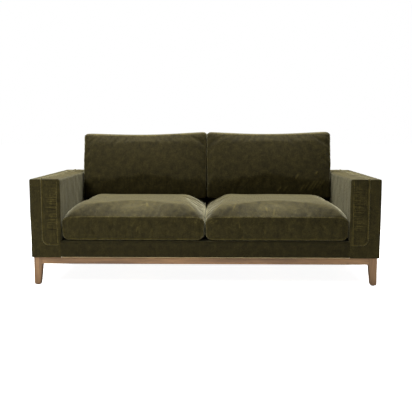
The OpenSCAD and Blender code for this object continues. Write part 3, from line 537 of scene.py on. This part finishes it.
# Back covers: the inside back is velvet over foam, raked, and goes over the top to the outside
# back, which is one stretched panel over hardboard, closed with a straight seam at the top.
RAKE = np.tan(radians(7.5))
INSIDE_TUCK = 0.008  # how far the inside back's ends go into the arms
OUTSIDE_TUCK = 0.014  # and the outside back's behind the arms' covers
lo, hi = (np.array(v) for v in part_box("back_inner_cover"))
lo[0] -= INSIDE_TUCK
hi += (INSIDE_TUCK, 0, FULLNESS)
depth = hi[1] - lo[1]
radius = np.array([0.004, 0.012, 0.012])
points, faces, index = box_lattice(ticks(lo[0], hi[0], radius[0], step=0.016),
                                   ticks(0, depth, radius[1], step=0.012),
                                   ticks(lo[2], hi[2], radius[2], step=0.012))
points = rounded(points, (lo[0], 0, lo[2]), (hi[0], depth, hi[2]), radius)
slope = (points[:, 2] - lo[2]) * RAKE
points[:, 1] = lo[1] + slope + points[:, 1] * (depth - slope) / depth
shown = (index[faces][:, :, 1].max(1) == 0) | (index[faces][:, :, 2].min(1) == index[:, 2].max())
inside = make_piece("velvet_inside_back", *kept_faces(points, faces, shown), velvet)
thicken(inside, CLOTH_T)
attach(inside, "frame")
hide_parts("back_inner_cover")

lo, hi = (np.array(v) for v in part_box("back_outer_cover"))
lo[1] = hi[1] - 0.014  # deep enough for its rounded edges
lo -= (OUTSIDE_TUCK, 0, 0.003)
hi += (OUTSIDE_TUCK, FULLNESS, FULLNESS)
radius = np.array([0.014, 0.006, 0.006])
points, faces, index = box_lattice(*(ticks(lo[a], hi[a], radius[a], step=0.014) for a in range(3)))
points = rounded(points, lo, hi, radius)
points[:, 1] += 0.0015 * ripples(points, wavelength=0.3, seed=41) * (points[:, 1] > hi[1] - 0.004)
shown = (index[faces][:, :, 1].min(1) > 0) & (index[faces][:, :, 2].max(1) > 1)
outside = make_piece("velvet_outside_back", *kept_faces(points, faces, shown), velvet)
thicken(outside, CLOTH_T)
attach(outside, "frame")
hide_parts("back_outer_cover")


# Seat cushions: two loose cushions of foam wrapped in fibre, in a boxed velvet cover with a crowned
# top. The cover is eased onto its seams, so it swells and puckers between them.
CLOTH_FRAMES = 20


def stuffed(name, points, faces, pinned, cap, slack, pressure):
    """Simulates a cover as cloth blown up from inside: its seam points stay, the cloth is longer by
    slack, and no point may end further than cap from where it began. Returns the new points."""
    obj = make_piece(name, points, faces, velvet)
    seams = obj.vertex_groups.new(name="seams")
    seams.add(np.flatnonzero(pinned).tolist(), 1.0, "REPLACE")
    cloth = obj.modifiers.new("cover", "CLOTH")
    cloth.settings.quality = 5
    cloth.settings.mass = 0.25
    cloth.settings.tension_stiffness = 15
    cloth.settings.compression_stiffness = 15
    cloth.settings.shear_stiffness = 8
    cloth.settings.bending_stiffness = 0.4
    cloth.settings.tension_damping = 8
    cloth.settings.compression_damping = 8
    cloth.settings.vertex_group_mass = "seams"
    cloth.settings.use_pressure = True
    cloth.settings.uniform_pressure_force = pressure
    cloth.settings.shrink_min = -slack
    cloth.settings.shrink_max = -slack
    cloth.settings.effector_weights.gravity = 0
    cloth.collision_settings.use_collision = False
    cloth.point_cache.frame_end = CLOTH_FRAMES
    for number in range(1, CLOTH_FRAMES + 1):
        scene.frame_set(number)
    settled = np.empty(len(points) * 3)
    mesh = obj.evaluated_get(bpy.context.evaluated_depsgraph_get()).data
    mesh.vertices.foreach_get("co", settled)
    bpy.data.objects.remove(obj)
    scene.frame_set(1)
    move = settled.reshape(-1, 3) - points
    size = np.linalg.norm(move, axis=1)
    return points + move * np.minimum(1, cap / np.maximum(size, 1e-9))[:, None]


def finer(points, faces):
    """The same surface with every quad split in four and smoothed. The first points are the old ones
    in their old order."""
    obj = make_piece("finer", points, faces, velvet)
    obj.modifiers.new("smooth", "SUBSURF").levels = 1
    mesh = obj.evaluated_get(bpy.context.evaluated_depsgraph_get()).data
    found, corners = np.empty(len(mesh.vertices) * 3), np.empty(len(mesh.loops), np.int32)
    mesh.vertices.foreach_get("co", found)
    mesh.loops.foreach_get("vertex_index", corners)
    bpy.data.objects.remove(obj)
    return found.reshape(-1, 3), corners.reshape(-1, 4)


def normals_of(points, faces):
    """The direction out of the surface at each point: the mean of its faces' own directions."""
    across = np.cross(points[faces[:, 2]] - points[faces[:, 0]], points[faces[:, 3]] - points[faces[:, 1]])
    total = np.stack([np.bincount(faces.ravel(), np.repeat(across[:, a], 4), len(points))
                      for a in range(3)], axis=1)
    return total / np.linalg.norm(total, axis=1, keepdims=True)


def edge_rows(index, *wanted):
    """The point numbers along box edges: each wanted edge gives its place in two of the directions
    and None in the one that it runs along; 0 is the first line and -1 the last."""
    last = index.max(axis=0)
    table = np.full(last + 1, -1)
    table[tuple(index.T)] = np.arange(len(index))
    return [table[tuple(slice(None) if place is None else place for place in edge)] for edge in wanted]


def sewn_edges(points, faces, rows, radius, sunk):
    """Welts along rows of points of a cover, each sunk a little into the cloth."""
    out = normals_of(points, faces)
    return together(*(welt(points[row] - sunk * out[row], out[row], radius) for row in rows))


def seam_puckers(points, rows, depth, reach, seed):
    """How far the cloth sinks beside its seams, in ripples 11 to 19 mm long that fade over the reach,
    and how near each point is to a seam: 1 on it and 0 about 12 mm away."""
    rng = np.random.default_rng(seed)
    sink, near = np.zeros((2, len(points)))
    for row in rows:
        line = points[row]
        axis = np.ptp(line, axis=0).argmax()
        line = line[line[:, axis].argsort()]
        t = points[:, axis]
        gap = np.maximum(line[0, axis] - t, 0) + np.maximum(t - line[-1, axis], 0)
        for other in {0, 1, 2} - {axis}:
            gap = np.hypot(gap, points[:, other] - np.interp(t, line[:, axis], line[:, other]))
        grid = np.arange(line[0, axis], line[-1, axis], 0.003)
        pace = np.interp(grid, grid[::12], rng.uniform(1 / 0.019, 1 / 0.011, len(grid[::12])))
        height = np.interp(grid, grid[::20], rng.uniform(0.1, 1.0, len(grid[::20])))
        wave = np.interp(t, grid, height * np.sin(2 * pi * 0.003 * np.cumsum(pace)))
        sink += depth * wave * np.clip(gap / 0.010, 0, 1) * np.exp(-(gap / reach) ** 2)
        near = np.maximum(near, np.exp(-(gap / 0.006) ** 2))
    return sink, near


def creases(flat, lines, width):
    """Raised creases drawn on flat coordinates (u, v). Each row of lines is u and v of one end, u and
    v of the other end, and a height, which fades to nothing at both ends and over the width."""
    lines = np.array(lines)
    start, run, height = lines[:, :2], lines[:, 2:4] - lines[:, :2], lines[:, 4]
    share = ((flat[:, None] - start) * run).sum(axis=2) / (run ** 2).sum(axis=1)
    gap = np.linalg.norm(flat[:, None] - start - np.clip(share, 0, 1)[:, :, None] * run, axis=2)
    return (height * np.sin(pi * np.clip(share, 0.02, 0.98)) * np.exp(-(gap / width) ** 2)).sum(axis=1)


def smoothstep(value, start, end):
    """0 before start, 1 after end and an even S between."""
    t = np.clip((value - start) / (end - start), 0, 1)
    return t * t * (3 - 2 * t)


def window(value, start, end, soft):
    """1 between start and end, falling evenly to 0 over the soft margin outside of each."""
    return smoothstep(value, start - soft, start) * (1 - smoothstep(value, end, end + soft))


def zip_channel(points, out, box, deep, face, margin, level):
    """Points moved to the level of a zip's channel where they lie over the zip's box, widened by the
    margin. deep is the axis that the channel sinks along; face is 1 or -1, the way it opens."""
    across = 3 - deep
    over = window(points[:, across], box[0][across] - margin, box[1][across] + margin, 0.008)
    over *= window(points[:, 0], box[0][0] - margin, box[1][0] + margin, 0.010) * (face * out[:, deep] > 0.5)
    moved = points.copy()
    moved[:, deep] += over * (level - points[:, deep])
    return moved


# Polyester fibre: soft white staple wadding, uneven in small lumps.
fibre, tree, shader = new_material("blown_polyester_fibre", 0.95, Sheen_Weight=0.3)
place = add_node(tree, "ShaderNodeTexCoord").outputs["Object"]
lumps = add_node(tree, "ShaderNodeTexNoise", [("Vector", place)], in_Scale=70.0, in_Detail=4.0).outputs["Fac"]
tint = add_node(tree, "ShaderNodeValToRGB", [("Fac", lumps)], ramp=[(0, "#d9d6cf"), (1, "#f1efea")])
tree.links.new(tint.outputs[0], shader.inputs["Base Color"])
bump = add_node(tree, "ShaderNodeBump", [("Height", lumps)], in_Strength=0.6, in_Distance=0.004)
tree.links.new(bump.outputs[0], shader.inputs["Normal"])

BOXING_H = 0.143
CROWN_H = 0.080
CROWN_FRONT = 0.215
CROWN_SIDE = 0.180
STEP = 0.0095
OTHER_X = 0.0008  # a cushion ends here, where it touches the other one
ARM_X = 0.8792  # and here, where it touches the arm
PRESSED_Y = (0.085, 0.15)  # between these the seat slopes down to where the back cushion stands
CORNER_DROP = 0.016  # how far the seams draw a front corner down at the top
CORNER_DRAW = 0.030  # and in at the bottom
CORNER_H = 0.045
FRONT_LIFT = 0.006  # how far the lower front edge stands off the rail
SEAM_WEAR_AND_HIGHLIGHT = 0.10  # how much paler the velvet is drawn beside the cushions' seams: crushed pile and a painted highlight
LOW_AND_MIDDLE_WEAR_AND_HIGHLIGHT = 0.30  # and so much more along the lower seams and the seam against the other cushion: rubbed pile and a painted highlight
FILL_INSET = 0.0065  # the filling lies this far under the cover
CREASE_WEAR_AND_HIGHLIGHT = 200  # paling for each metre that a crease stands up: crushed pile and a painted highlight on its ridge
CREASE_W = 0.005
# Creases of the top, in (x, y), and of the front boxing, in (x, z), outwards from the middle.
TOP_CREASES = {"left": [(0.36, -0.40, 0.37, -0.33, 0.0022), (0.06, -0.44, 0.12, -0.36, 0.002)],
               "right": [(0.385, -0.45, 0.375, -0.37, 0.0025), (0.42, -0.47, 0.43, -0.40, 0.0022),
                         (0.17, -0.45, 0.20, -0.36, 0.0022), (0.05, -0.45, 0.11, -0.36, 0.002)]}
FRONT_CREASES = {"left": [(0.40, 0.39, 0.42, 0.33, 0.0022), (0.43, 0.40, 0.45, 0.36, 0.002),
                          (0.32, 0.36, 0.33, 0.32, 0.0016), (0.02, 0.385, 0.06, 0.415, 0.002),
                          (0.04, 0.38, 0.075, 0.41, 0.0016)],
                 "right": [(0.205, 0.40, 0.215, 0.345, 0.0022), (0.36, 0.35, 0.37, 0.32, 0.0016),
                           (0.02, 0.385, 0.06, 0.415, 0.002), (0.04, 0.38, 0.08, 0.41, 0.0016)]}
for side in ("left", "right"):
    node = "seat_cushion_cover_" + side
    lo, hi = (np.array(v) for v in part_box("seat_cushion_cover_right"))
    rest_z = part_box("back_cushion_cover_right")[0].z - 0.0005  # here the back cushion stands
    hi[2] = lo[2] + BOXING_H  # up to the upper seams; the crown rises from there
    lo, hi = lo + (0.002, 0.004, 0.001), hi - (0.002, 0.002, 0)
    radius = 0.011
    points, faces, index = box_lattice(*(ticks(lo[a], hi[a], radius, STEP, turns=2) for a in range(3)))
    last = index.max(axis=0)
    edges = ((index == 0) | (index == last)).sum(axis=1) > 1
    top = smoothstep(points[:, 2], lo[2] + 0.3 * BOXING_H, hi[2])
    points = rounded(points, lo, hi, radius)
    # The top rises from its seams quickly, then flattens out, and it is pressed down again behind,
    # where the back cushion stands on it.
    in_x = np.clip(np.minimum(points[:, 0] - lo[0], hi[0] - points[:, 0]) / CROWN_SIDE, 0, 1)
    in_y = np.clip((points[:, 1] - lo[1]) / CROWN_FRONT, 0, 1)
    behind = np.clip((hi[1] - points[:, 1]) / 0.05, 0, 1)
    rise = ((2 - in_x) * in_x * (2 - in_y) * in_y) ** 0.6 * (2 - behind) * behind
    full = CROWN_H - (CROWN_H - (rest_z - hi[2])) * smoothstep(points[:, 1], *PRESSED_Y)
    points[:, 2] += top * full * rise
    wave = ripples(points, wavelength=0.28, seed=51 if side == "left" else 52)
    points[:, 2] += top * rise * 0.003 * wave
    # The seams draw the front corners down at the top and in at the bottom.
    middle = (lo[0] + hi[0]) / 2
    outwards = np.clip((points[:, 0] - middle) / (hi[0] - middle), -1, 1)
    forwards = 1 - smoothstep(points[:, 1], lo[1] + 0.03, lo[1] + 0.12)
    to_side = np.minimum(points[:, 0] - lo[0], hi[0] - points[:, 0])
    points[:, 2] -= CORNER_DROP * top * np.clip(1 - to_side / 0.06, 0, 1) ** 2 * forwards
    low = np.clip(CORNER_H - (points[:, 2] - lo[2]), 0, CORNER_H) / CORNER_H
    lean = np.clip((hi[2] - points[:, 2]) / BOXING_H, 0, 1)
    draw = CORNER_DRAW * (1 - np.sqrt(1 - low ** 2)) + 0.004 * lean
    points[:, 0] -= draw * forwards * outwards ** 3
    # Its lower front edge stands a little off the rail.
    ahead = 1 - smoothstep(points[:, 1], lo[1] + 0.02, lo[1] + 0.09)
    points[:, 2] += FRONT_LIFT * ahead * (1 - smoothstep(points[:, 2], lo[2], lo[2] + 0.05))
    points = stuffed("simulated_" + node, points, faces, edges, cap=0.012, slack=0.022, pressure=3.0)
    # It is flat where it lies on the deck, against the other cushion, the arm and the back.
    held = rest_z + 0.06 * (1 - smoothstep(points[:, 1], 0.09, 0.16))
    points = np.clip(points, (OTHER_X, -1, lo[2]), (ARM_X, hi[1] + 0.003, 1))
    points[:, 2] = np.minimum(points[:, 2], held)
    rows = edge_rows(index, (None, 0, -1), (0, None, -1), (-1, None, -1), (None, 0, 0), (0, None, 0),
                     (-1, None, 0), (0, 0, None), (-1, 0, None))
    core_faces = faces
    out = normals_of(points, faces)
    zip_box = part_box("seat_zip_right")
    core = zip_channel(points - FILL_INSET * out, out, zip_box, deep=1, face=1, margin=0.012,
                       level=zip_box[0].y - 0.006)
    points, faces = finer(points, faces)
    out = normals_of(points, faces)
    sink, near = seam_puckers(points, rows, depth=0.0022, reach=0.03, seed=61 if side == "left" else 62)
    folded = creases(points[:, :2], TOP_CREASES[side], CREASE_W) * np.clip(2 * out[:, 2] - 0.3, 0, 1)
    folded += creases(points[:, ::2], FRONT_CREASES[side], CREASE_W) * np.clip(-2 * out[:, 1] - 0.5, 0, 1)
    points = points + (folded - sink)[:, None] * out
    # The zip lies in a shallow channel across the back.
    points = zip_channel(points, out, zip_box, deep=1, face=1, margin=0.003, level=zip_box[0].y - 0.0015)
    points, faces = mirrored(points, faces, side)
    # The welt of the fourth row, the lower front edge, is thicker than the others.
    cords = together(sewn_edges(points, faces, rows[:3] + rows[4:], radius=0.0032, sunk=0.0022),
                     sewn_edges(points, faces, rows[3:4], radius=0.0045, sunk=0.0015))
    seams = make_piece("velvet_seat_seams_" + side, *cords, velvet_welt_highlight)
    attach(seams, "seat_cushion_" + side)
    # Painted highlight with crushed pile: paler beside the seams, more along the lower and middle ones, and
    # along the crease ridges.
    lower_and_middle = (points[:, 2] < lo[2] + 0.025) | (np.abs(points[:, 0]) < 0.02)
    wear_and_highlight = (SEAM_WEAR_AND_HIGHLIGHT + LOW_AND_MIDDLE_WEAR_AND_HIGHLIGHT * lower_and_middle) * near + CREASE_WEAR_AND_HIGHLIGHT * folded
    cushion = make_piece("velvet_seat_cushion_" + side, points, faces, velvet, wear_and_highlight)
    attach(cushion, "seat_cushion_" + side)
    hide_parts(node)
    filling = make_piece("fibre_seat_filling_" + side, *mirrored(core, core_faces, side), fibre)
    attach(filling, "seat_cushion_" + side)
    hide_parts("seat_cushion_filling_" + side)


# Back cushions: two loose fibre cushions in boxed velvet covers, standing on the seat cushions and
# leaning on the raked back. Softer than the seats, with a top edge that dips between its corners.
FOOT_T = 0.215
TOP_T = 0.155
SWELL = 0.014
TOP_DIP = 0.015
TOP_CORNER_W = 0.010
TOP_CORNER_H = 0.026
ARM_TOP_Z = (0.655, 0.675)  # above the arm the cushion is free to swell over it, across this band
# Slanting creases of the front, in (x, z) outwards from the middle, low down towards the arm.
BACK_CREASES = {"left": [(0.10, 0.52, 0.08, 0.57, 0.0016), (0.60, 0.52, 0.57, 0.56, 0.0014)],
                "right": [(x, z, x + 0.55 * run, z + 0.83 * run, 0.0032) for x, z, run in
                          ((0.50, 0.515, 0.06), (0.545, 0.52, 0.05), (0.655, 0.515, 0.075),
                           (0.683, 0.525, 0.09), (0.712, 0.52, 0.10), (0.738, 0.525, 0.105),
                           (0.765, 0.53, 0.09), (0.79, 0.54, 0.08), (0.62, 0.60, 0.05), (0.76, 0.63, 0.05))]}
for side in ("left", "right"):
    node = "back_cushion_cover_" + side
    lo, hi = (np.array(v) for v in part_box("back_cushion_cover_right"))
    lo, hi = lo + (0.0015, 0, 0.0005), hi + (-0.0015, 0, 0.001)
    depth = 0.185
    radius = 0.016
    points, faces, index = box_lattice(ticks(lo[0], hi[0], radius, STEP, turns=2),
                                       ticks(0, depth, radius, STEP, turns=2),
                                       ticks(lo[2], hi[2], radius, STEP, turns=2))
    last = index.max(axis=0)
    edges = ((index == 0) | (index == last)).sum(axis=1) > 1
    points = rounded(points, (lo[0], 0, lo[2]), (hi[0], depth, hi[2]), radius)
    up = (points[:, 2] - lo[2]) / (hi[2] - lo[2])
    across = (points[:, 0] - lo[0]) / (hi[0] - lo[0])
    # Seen from the front, the top corners are round and the sides stand out a little above the arms.
    corner = np.clip(TOP_CORNER_H - (hi[2] - points[:, 2]), 0, TOP_CORNER_H) / TOP_CORNER_H
    narrow = TOP_CORNER_W * (1 - np.sqrt(1 - corner ** 2)) - 0.004 * smoothstep(up, 0.3, 0.6)
    points[:, 0] -= narrow * (2 * across - 1)
    plane_y, plane_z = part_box("back_cushion_cover_right")[1].y, hi[2] - 0.001
    back_y = plane_y - (plane_z - points[:, 2]) * RAKE
    swell = SWELL * np.sin(pi * up ** 0.8) ** 0.8 * np.sin(pi * across) ** 0.5
    rolled = 0.045 * np.clip(1 - up / 0.28, 0, 1) ** 2  # the front curves back in under the belly
    thick = FOOT_T + (TOP_T - FOOT_T) * up + swell - rolled
    points[:, 1] = back_y - (1 - points[:, 1] / depth) * thick
    # The top dips in the middle and is a little lower at the corner by the arm on the left.
    low_corner = 0.012 if side == "left" else -0.002
    dip = TOP_DIP * np.sin(pi * across) ** 1.2 + low_corner * across ** 1.5
    points[:, 2] -= dip * smoothstep(up, 0.6, 1.0)
    # The top edge moves least, so that its outline stays.
    cap = 0.010 - 0.007 * smoothstep(up, 0.90, 0.99)
    points = stuffed("simulated_" + node, points, faces, edges, cap, slack=0.009, pressure=2.2)
    # It is flat where it stands on the seat, against the other cushion, the arm and the back.
    back_y = plane_y - (plane_z - points[:, 2]) * RAKE
    side_x = ARM_X + 0.006 * smoothstep(points[:, 2], *ARM_TOP_Z)
    points[:, 0] = np.clip(points[:, 0], OTHER_X, side_x)
    points[:, 1] = np.minimum(points[:, 1], back_y + 0.001)
    points[:, 2] = np.maximum(points[:, 2], lo[2])
    rows = edge_rows(index, (None, 0, -1), (0, 0, None), (-1, 0, None), (None, 0, 0), (None, -1, -1),
                     (0, None, -1), (-1, None, -1), (0, -1, None), (-1, -1, None))
    core_faces = faces
    out = normals_of(points, faces)
    zip_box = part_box("back_zip_right")
    core = zip_channel(points - FILL_INSET * out, out, zip_box, deep=2, face=-1, margin=0.012,
                       level=zip_box[1].z + 0.006)
    points, faces = finer(points, faces)
    out = normals_of(points, faces)
    sink, near = seam_puckers(points, rows, depth=0.0026, reach=0.022, seed=71 if side == "left" else 72)
    folded = creases(points[:, ::2], BACK_CREASES[side], CREASE_W) * np.clip(-2 * out[:, 1] - 0.5, 0, 1)
    points = points + (folded - sink)[:, None] * out
    # The zip lies in a shallow channel across the underside.
    points = zip_channel(points, out, zip_box, deep=2, face=-1, margin=0.003, level=zip_box[1].z + 0.001)
    points, faces = mirrored(points, faces, side)
    cords = sewn_edges(points, faces, rows, radius=0.0028, sunk=0.0022)
    seams = make_piece("velvet_back_seams_" + side, *cords, velvet_welt_highlight)
    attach(seams, "back_cushion_" + side)
    # Painted highlight with crushed pile: paler beside the seams and along the crease ridges.
    wear_and_highlight = SEAM_WEAR_AND_HIGHLIGHT * near + CREASE_WEAR_AND_HIGHLIGHT * folded
    cushion = make_piece("velvet_back_cushion_" + side, points, faces, velvet_back, wear_and_highlight)
    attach(cushion, "back_cushion_" + side)
    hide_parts(node)
    filling = make_piece("fibre_back_filling_" + side, *mirrored(core, core_faces, side), fibre)
    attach(filling, "back_cushion_" + side)
    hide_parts("back_cushion_filling_" + side)


# Timber frame and blocks: planed pine, glued and screwed. It is all covered, but it carries the
# springs, the arms and the back.
# Planed pine: pale yellow brown with wide soft growth bands, matt and unfinished.
for along, nodes in (("x", ("seat_long_rails", "back_rails", "base_corner_blocks")),
                     ("y", ("base_cross_boards", "seat_side_rails", "seat_stretchers", "arm_rails")),
                     ("z", ("glue_blocks", "arm_posts", "back_posts"))):
    pine = straight_wood("planed_pine_" + along, along, "#b98f58", "#d9b986", 34, 3.5, 0.9, 0.7, 0.0)
    wear(pine, *nodes)
# Turned beech: pinkish, even and fine grained.
wear(straight_wood("turned_beech", "x", "#b98d66", "#cfa984", 18, 1.2, 0.8, 0.6, 0.0), "base_dowels")

# Arm panels and outside panels: birch plywood on the inner faces, thin hardboard outside.
wear(straight_wood("rotary_cut_birch_plywood", "y", "#c2a06f", "#dcc294", 60, 2.5, 0.95, 0.65, 0.0),
     "arm_inner_panels")
# Pressed hardboard: brown wood fibre with a slightly glossy, mottled face.
hardboard, tree, shader = new_material("pressed_hardboard", 0.45)
place = add_node(tree, "ShaderNodeTexCoord").outputs["Object"]
fibres = add_node(tree, "ShaderNodeTexNoise", [("Vector", place)],
                  in_Scale=260.0, in_Detail=5.0).outputs["Fac"]
tint = add_node(tree, "ShaderNodeValToRGB", [("Fac", fibres)], ramp=[(0.35, "#6a4526"), (0.65, "#8a6440")])
tree.links.new(tint.outputs[0], shader.inputs["Base Color"])
bump = add_node(tree, "ShaderNodeBump", [("Height", fibres)], in_Strength=0.25, in_Distance=0.0003)
tree.links.new(bump.outputs[0], shader.inputs["Normal"])
wear(hardboard, "outer_panels")


# Fixings: bolts, nuts, washers and screws of zinc-plated steel, and springs of tempered wire.
def plated(name, roughness, pale, dark, speck_mm):
    """Steel with a plated or tempered skin: slightly cloudy in colour and in gloss."""
    material, tree, shader = new_material(name, roughness, Metallic=1.0)
    place = add_node(tree, "ShaderNodeTexCoord").outputs["Object"]
    cloud = add_node(tree, "ShaderNodeTexNoise", [("Vector", place)], in_Scale=1000 / speck_mm, in_Detail=3.0)
    tint = add_node(tree, "ShaderNodeValToRGB", [("Fac", cloud.outputs["Fac"])],
                    ramp=[(0.35, dark), (0.65, pale)])
    rough = add_node(tree, "ShaderNodeMapRange", [("Value", cloud.outputs["Fac"])],
                     in_3=roughness - 0.1, in_4=roughness + 0.12)
    tree.links.new(tint.outputs[0], shader.inputs["Base Color"])
    tree.links.new(rough.outputs[0], shader.inputs["Roughness"])
    return material


# Zinc plate: pale blue grey, half bright. Oil-tempered wire: dark brown grey. Zip brass: aged yellow.
wear(plated("zinc_plated_steel", 0.38, "#b4b7ba", "#8f9396", 6),
     "leg_bolts", "base_screws", "arm_bolts", "spring_clips")
wear(plated("oil_tempered_spring_wire", 0.35, "#5c5a58", "#3d3a38", 9), "seat_springs")
wear(plated("aged_brass", 0.42, "#a58a4d", "#6f5a2c", 2),
     *("%s_zip_slider_%s" % (part, side) for part in ("seat", "back") for side in ("left", "right")))


# Tie wires, felt, foam and wadding: soft packing between the frame and the covers.
def packing(name, pale, dark, spot_mm, depth_mm, roughness=0.95):
    """A soft or fibrous stuff in two close tones with spots of a size, and a bumpy face."""
    material, tree, shader = new_material(name, roughness)
    place = add_node(tree, "ShaderNodeTexCoord").outputs["Object"]
    spots = add_node(tree, "ShaderNodeTexNoise", [("Vector", place)],
                     in_Scale=1000 / spot_mm, in_Detail=4.0, in_Roughness=0.6).outputs["Fac"]
    tint = add_node(tree, "ShaderNodeValToRGB", [("Fac", spots)], ramp=[(0.35, dark), (0.65, pale)])
    bump = add_node(tree, "ShaderNodeBump", [("Height", spots)], in_Strength=0.6, in_Distance=depth_mm / 1000)
    tree.links.new(tint.outputs[0], shader.inputs["Base Color"])
    tree.links.new(bump.outputs[0], shader.inputs["Normal"])
    return material


# Twisted kraft paper round wire; grey-flecked needled felt; open-cell foam; combed wadding.
wear(packing("twisted_kraft_paper", "#cdbb92", "#a8956c", 3, 0.4), "spring_tie_wires")
wear(packing("needled_felt", "#c9c2b3", "#a49b8a", 4, 0.8), "deck_pad")
wear(packing("open_cell_foam", "#e4d5a4", "#cfbd88", 1.5, 0.5), "front_foam", "arm_pad_foam", "back_foam")
wear(packing("combed_polyester_wadding", "#eeebe4", "#dedad1", 16, 2.0), "arm_wadding", "back_wadding")


# Cloths and tapes: the deck cloth, the dust cover, the webbing of the back and the zip tapes.
def plain_weave(name, pale, dark, thread_mm, roughness=0.9):
    """Cloth of crossed threads: pale where either thread comes over, dark in the gaps between."""
    material, tree, shader = new_material(name, roughness, Sheen_Weight=0.1)
    place = add_node(tree, "ShaderNodeTexCoord").outputs["Object"]
    split = add_node(tree, "ShaderNodeSeparateXYZ", [(0, place)])
    both = add_node(tree, "ShaderNodeMath", [(0, split.outputs["Y"]), (1, split.outputs["Z"])],
                    operation="ADD").outputs[0]
    over = []
    for way in (split.outputs["X"], both):
        turn = add_node(tree, "ShaderNodeMath", [(0, way)], operation="MULTIPLY", in_1=1000 * pi / thread_mm)
        over.append(add_node(tree, "ShaderNodeMath", [(0, turn.outputs[0])], operation="SINE").outputs[0])
    weave = add_node(tree, "ShaderNodeMath", [(0, over[0]), (1, over[1])], operation="MULTIPLY").outputs[0]
    lift = add_node(tree, "ShaderNodeMath", [(0, weave)], operation="ABSOLUTE").outputs[0]
    tint = add_node(tree, "ShaderNodeValToRGB", [("Fac", lift)], ramp=[(0, dark), (1, pale)])
    bump = add_node(tree, "ShaderNodeBump", [("Height", lift)], in_Strength=0.6, in_Distance=0.0003)
    tree.links.new(tint.outputs[0], shader.inputs["Base Color"])
    tree.links.new(bump.outputs[0], shader.inputs["Normal"])
    return material


# Olive cotton lining; black spun-bonded cloth, drawn as a fine grid; jute webbing; polyester tape.
wear(plain_weave("woven_cotton_lining", "#3b3823", "#25230f", 1.2), "deck_cloth")
wear(plain_weave("black_spunbonded_cloth", "#1c1c1c", "#0c0c0c", 2.5), "dust_cover")
wear(plain_weave("woven_jute_webbing", "#a8966f", "#6f6044", 2.0), "back_webbing")
wear(plain_weave("woven_zip_tape", "#45412a", "#2b2817", 0.8, 0.7),
     *("%s_zip_%s" % (part, side) for part in ("seat", "back") for side in ("left", "right")))
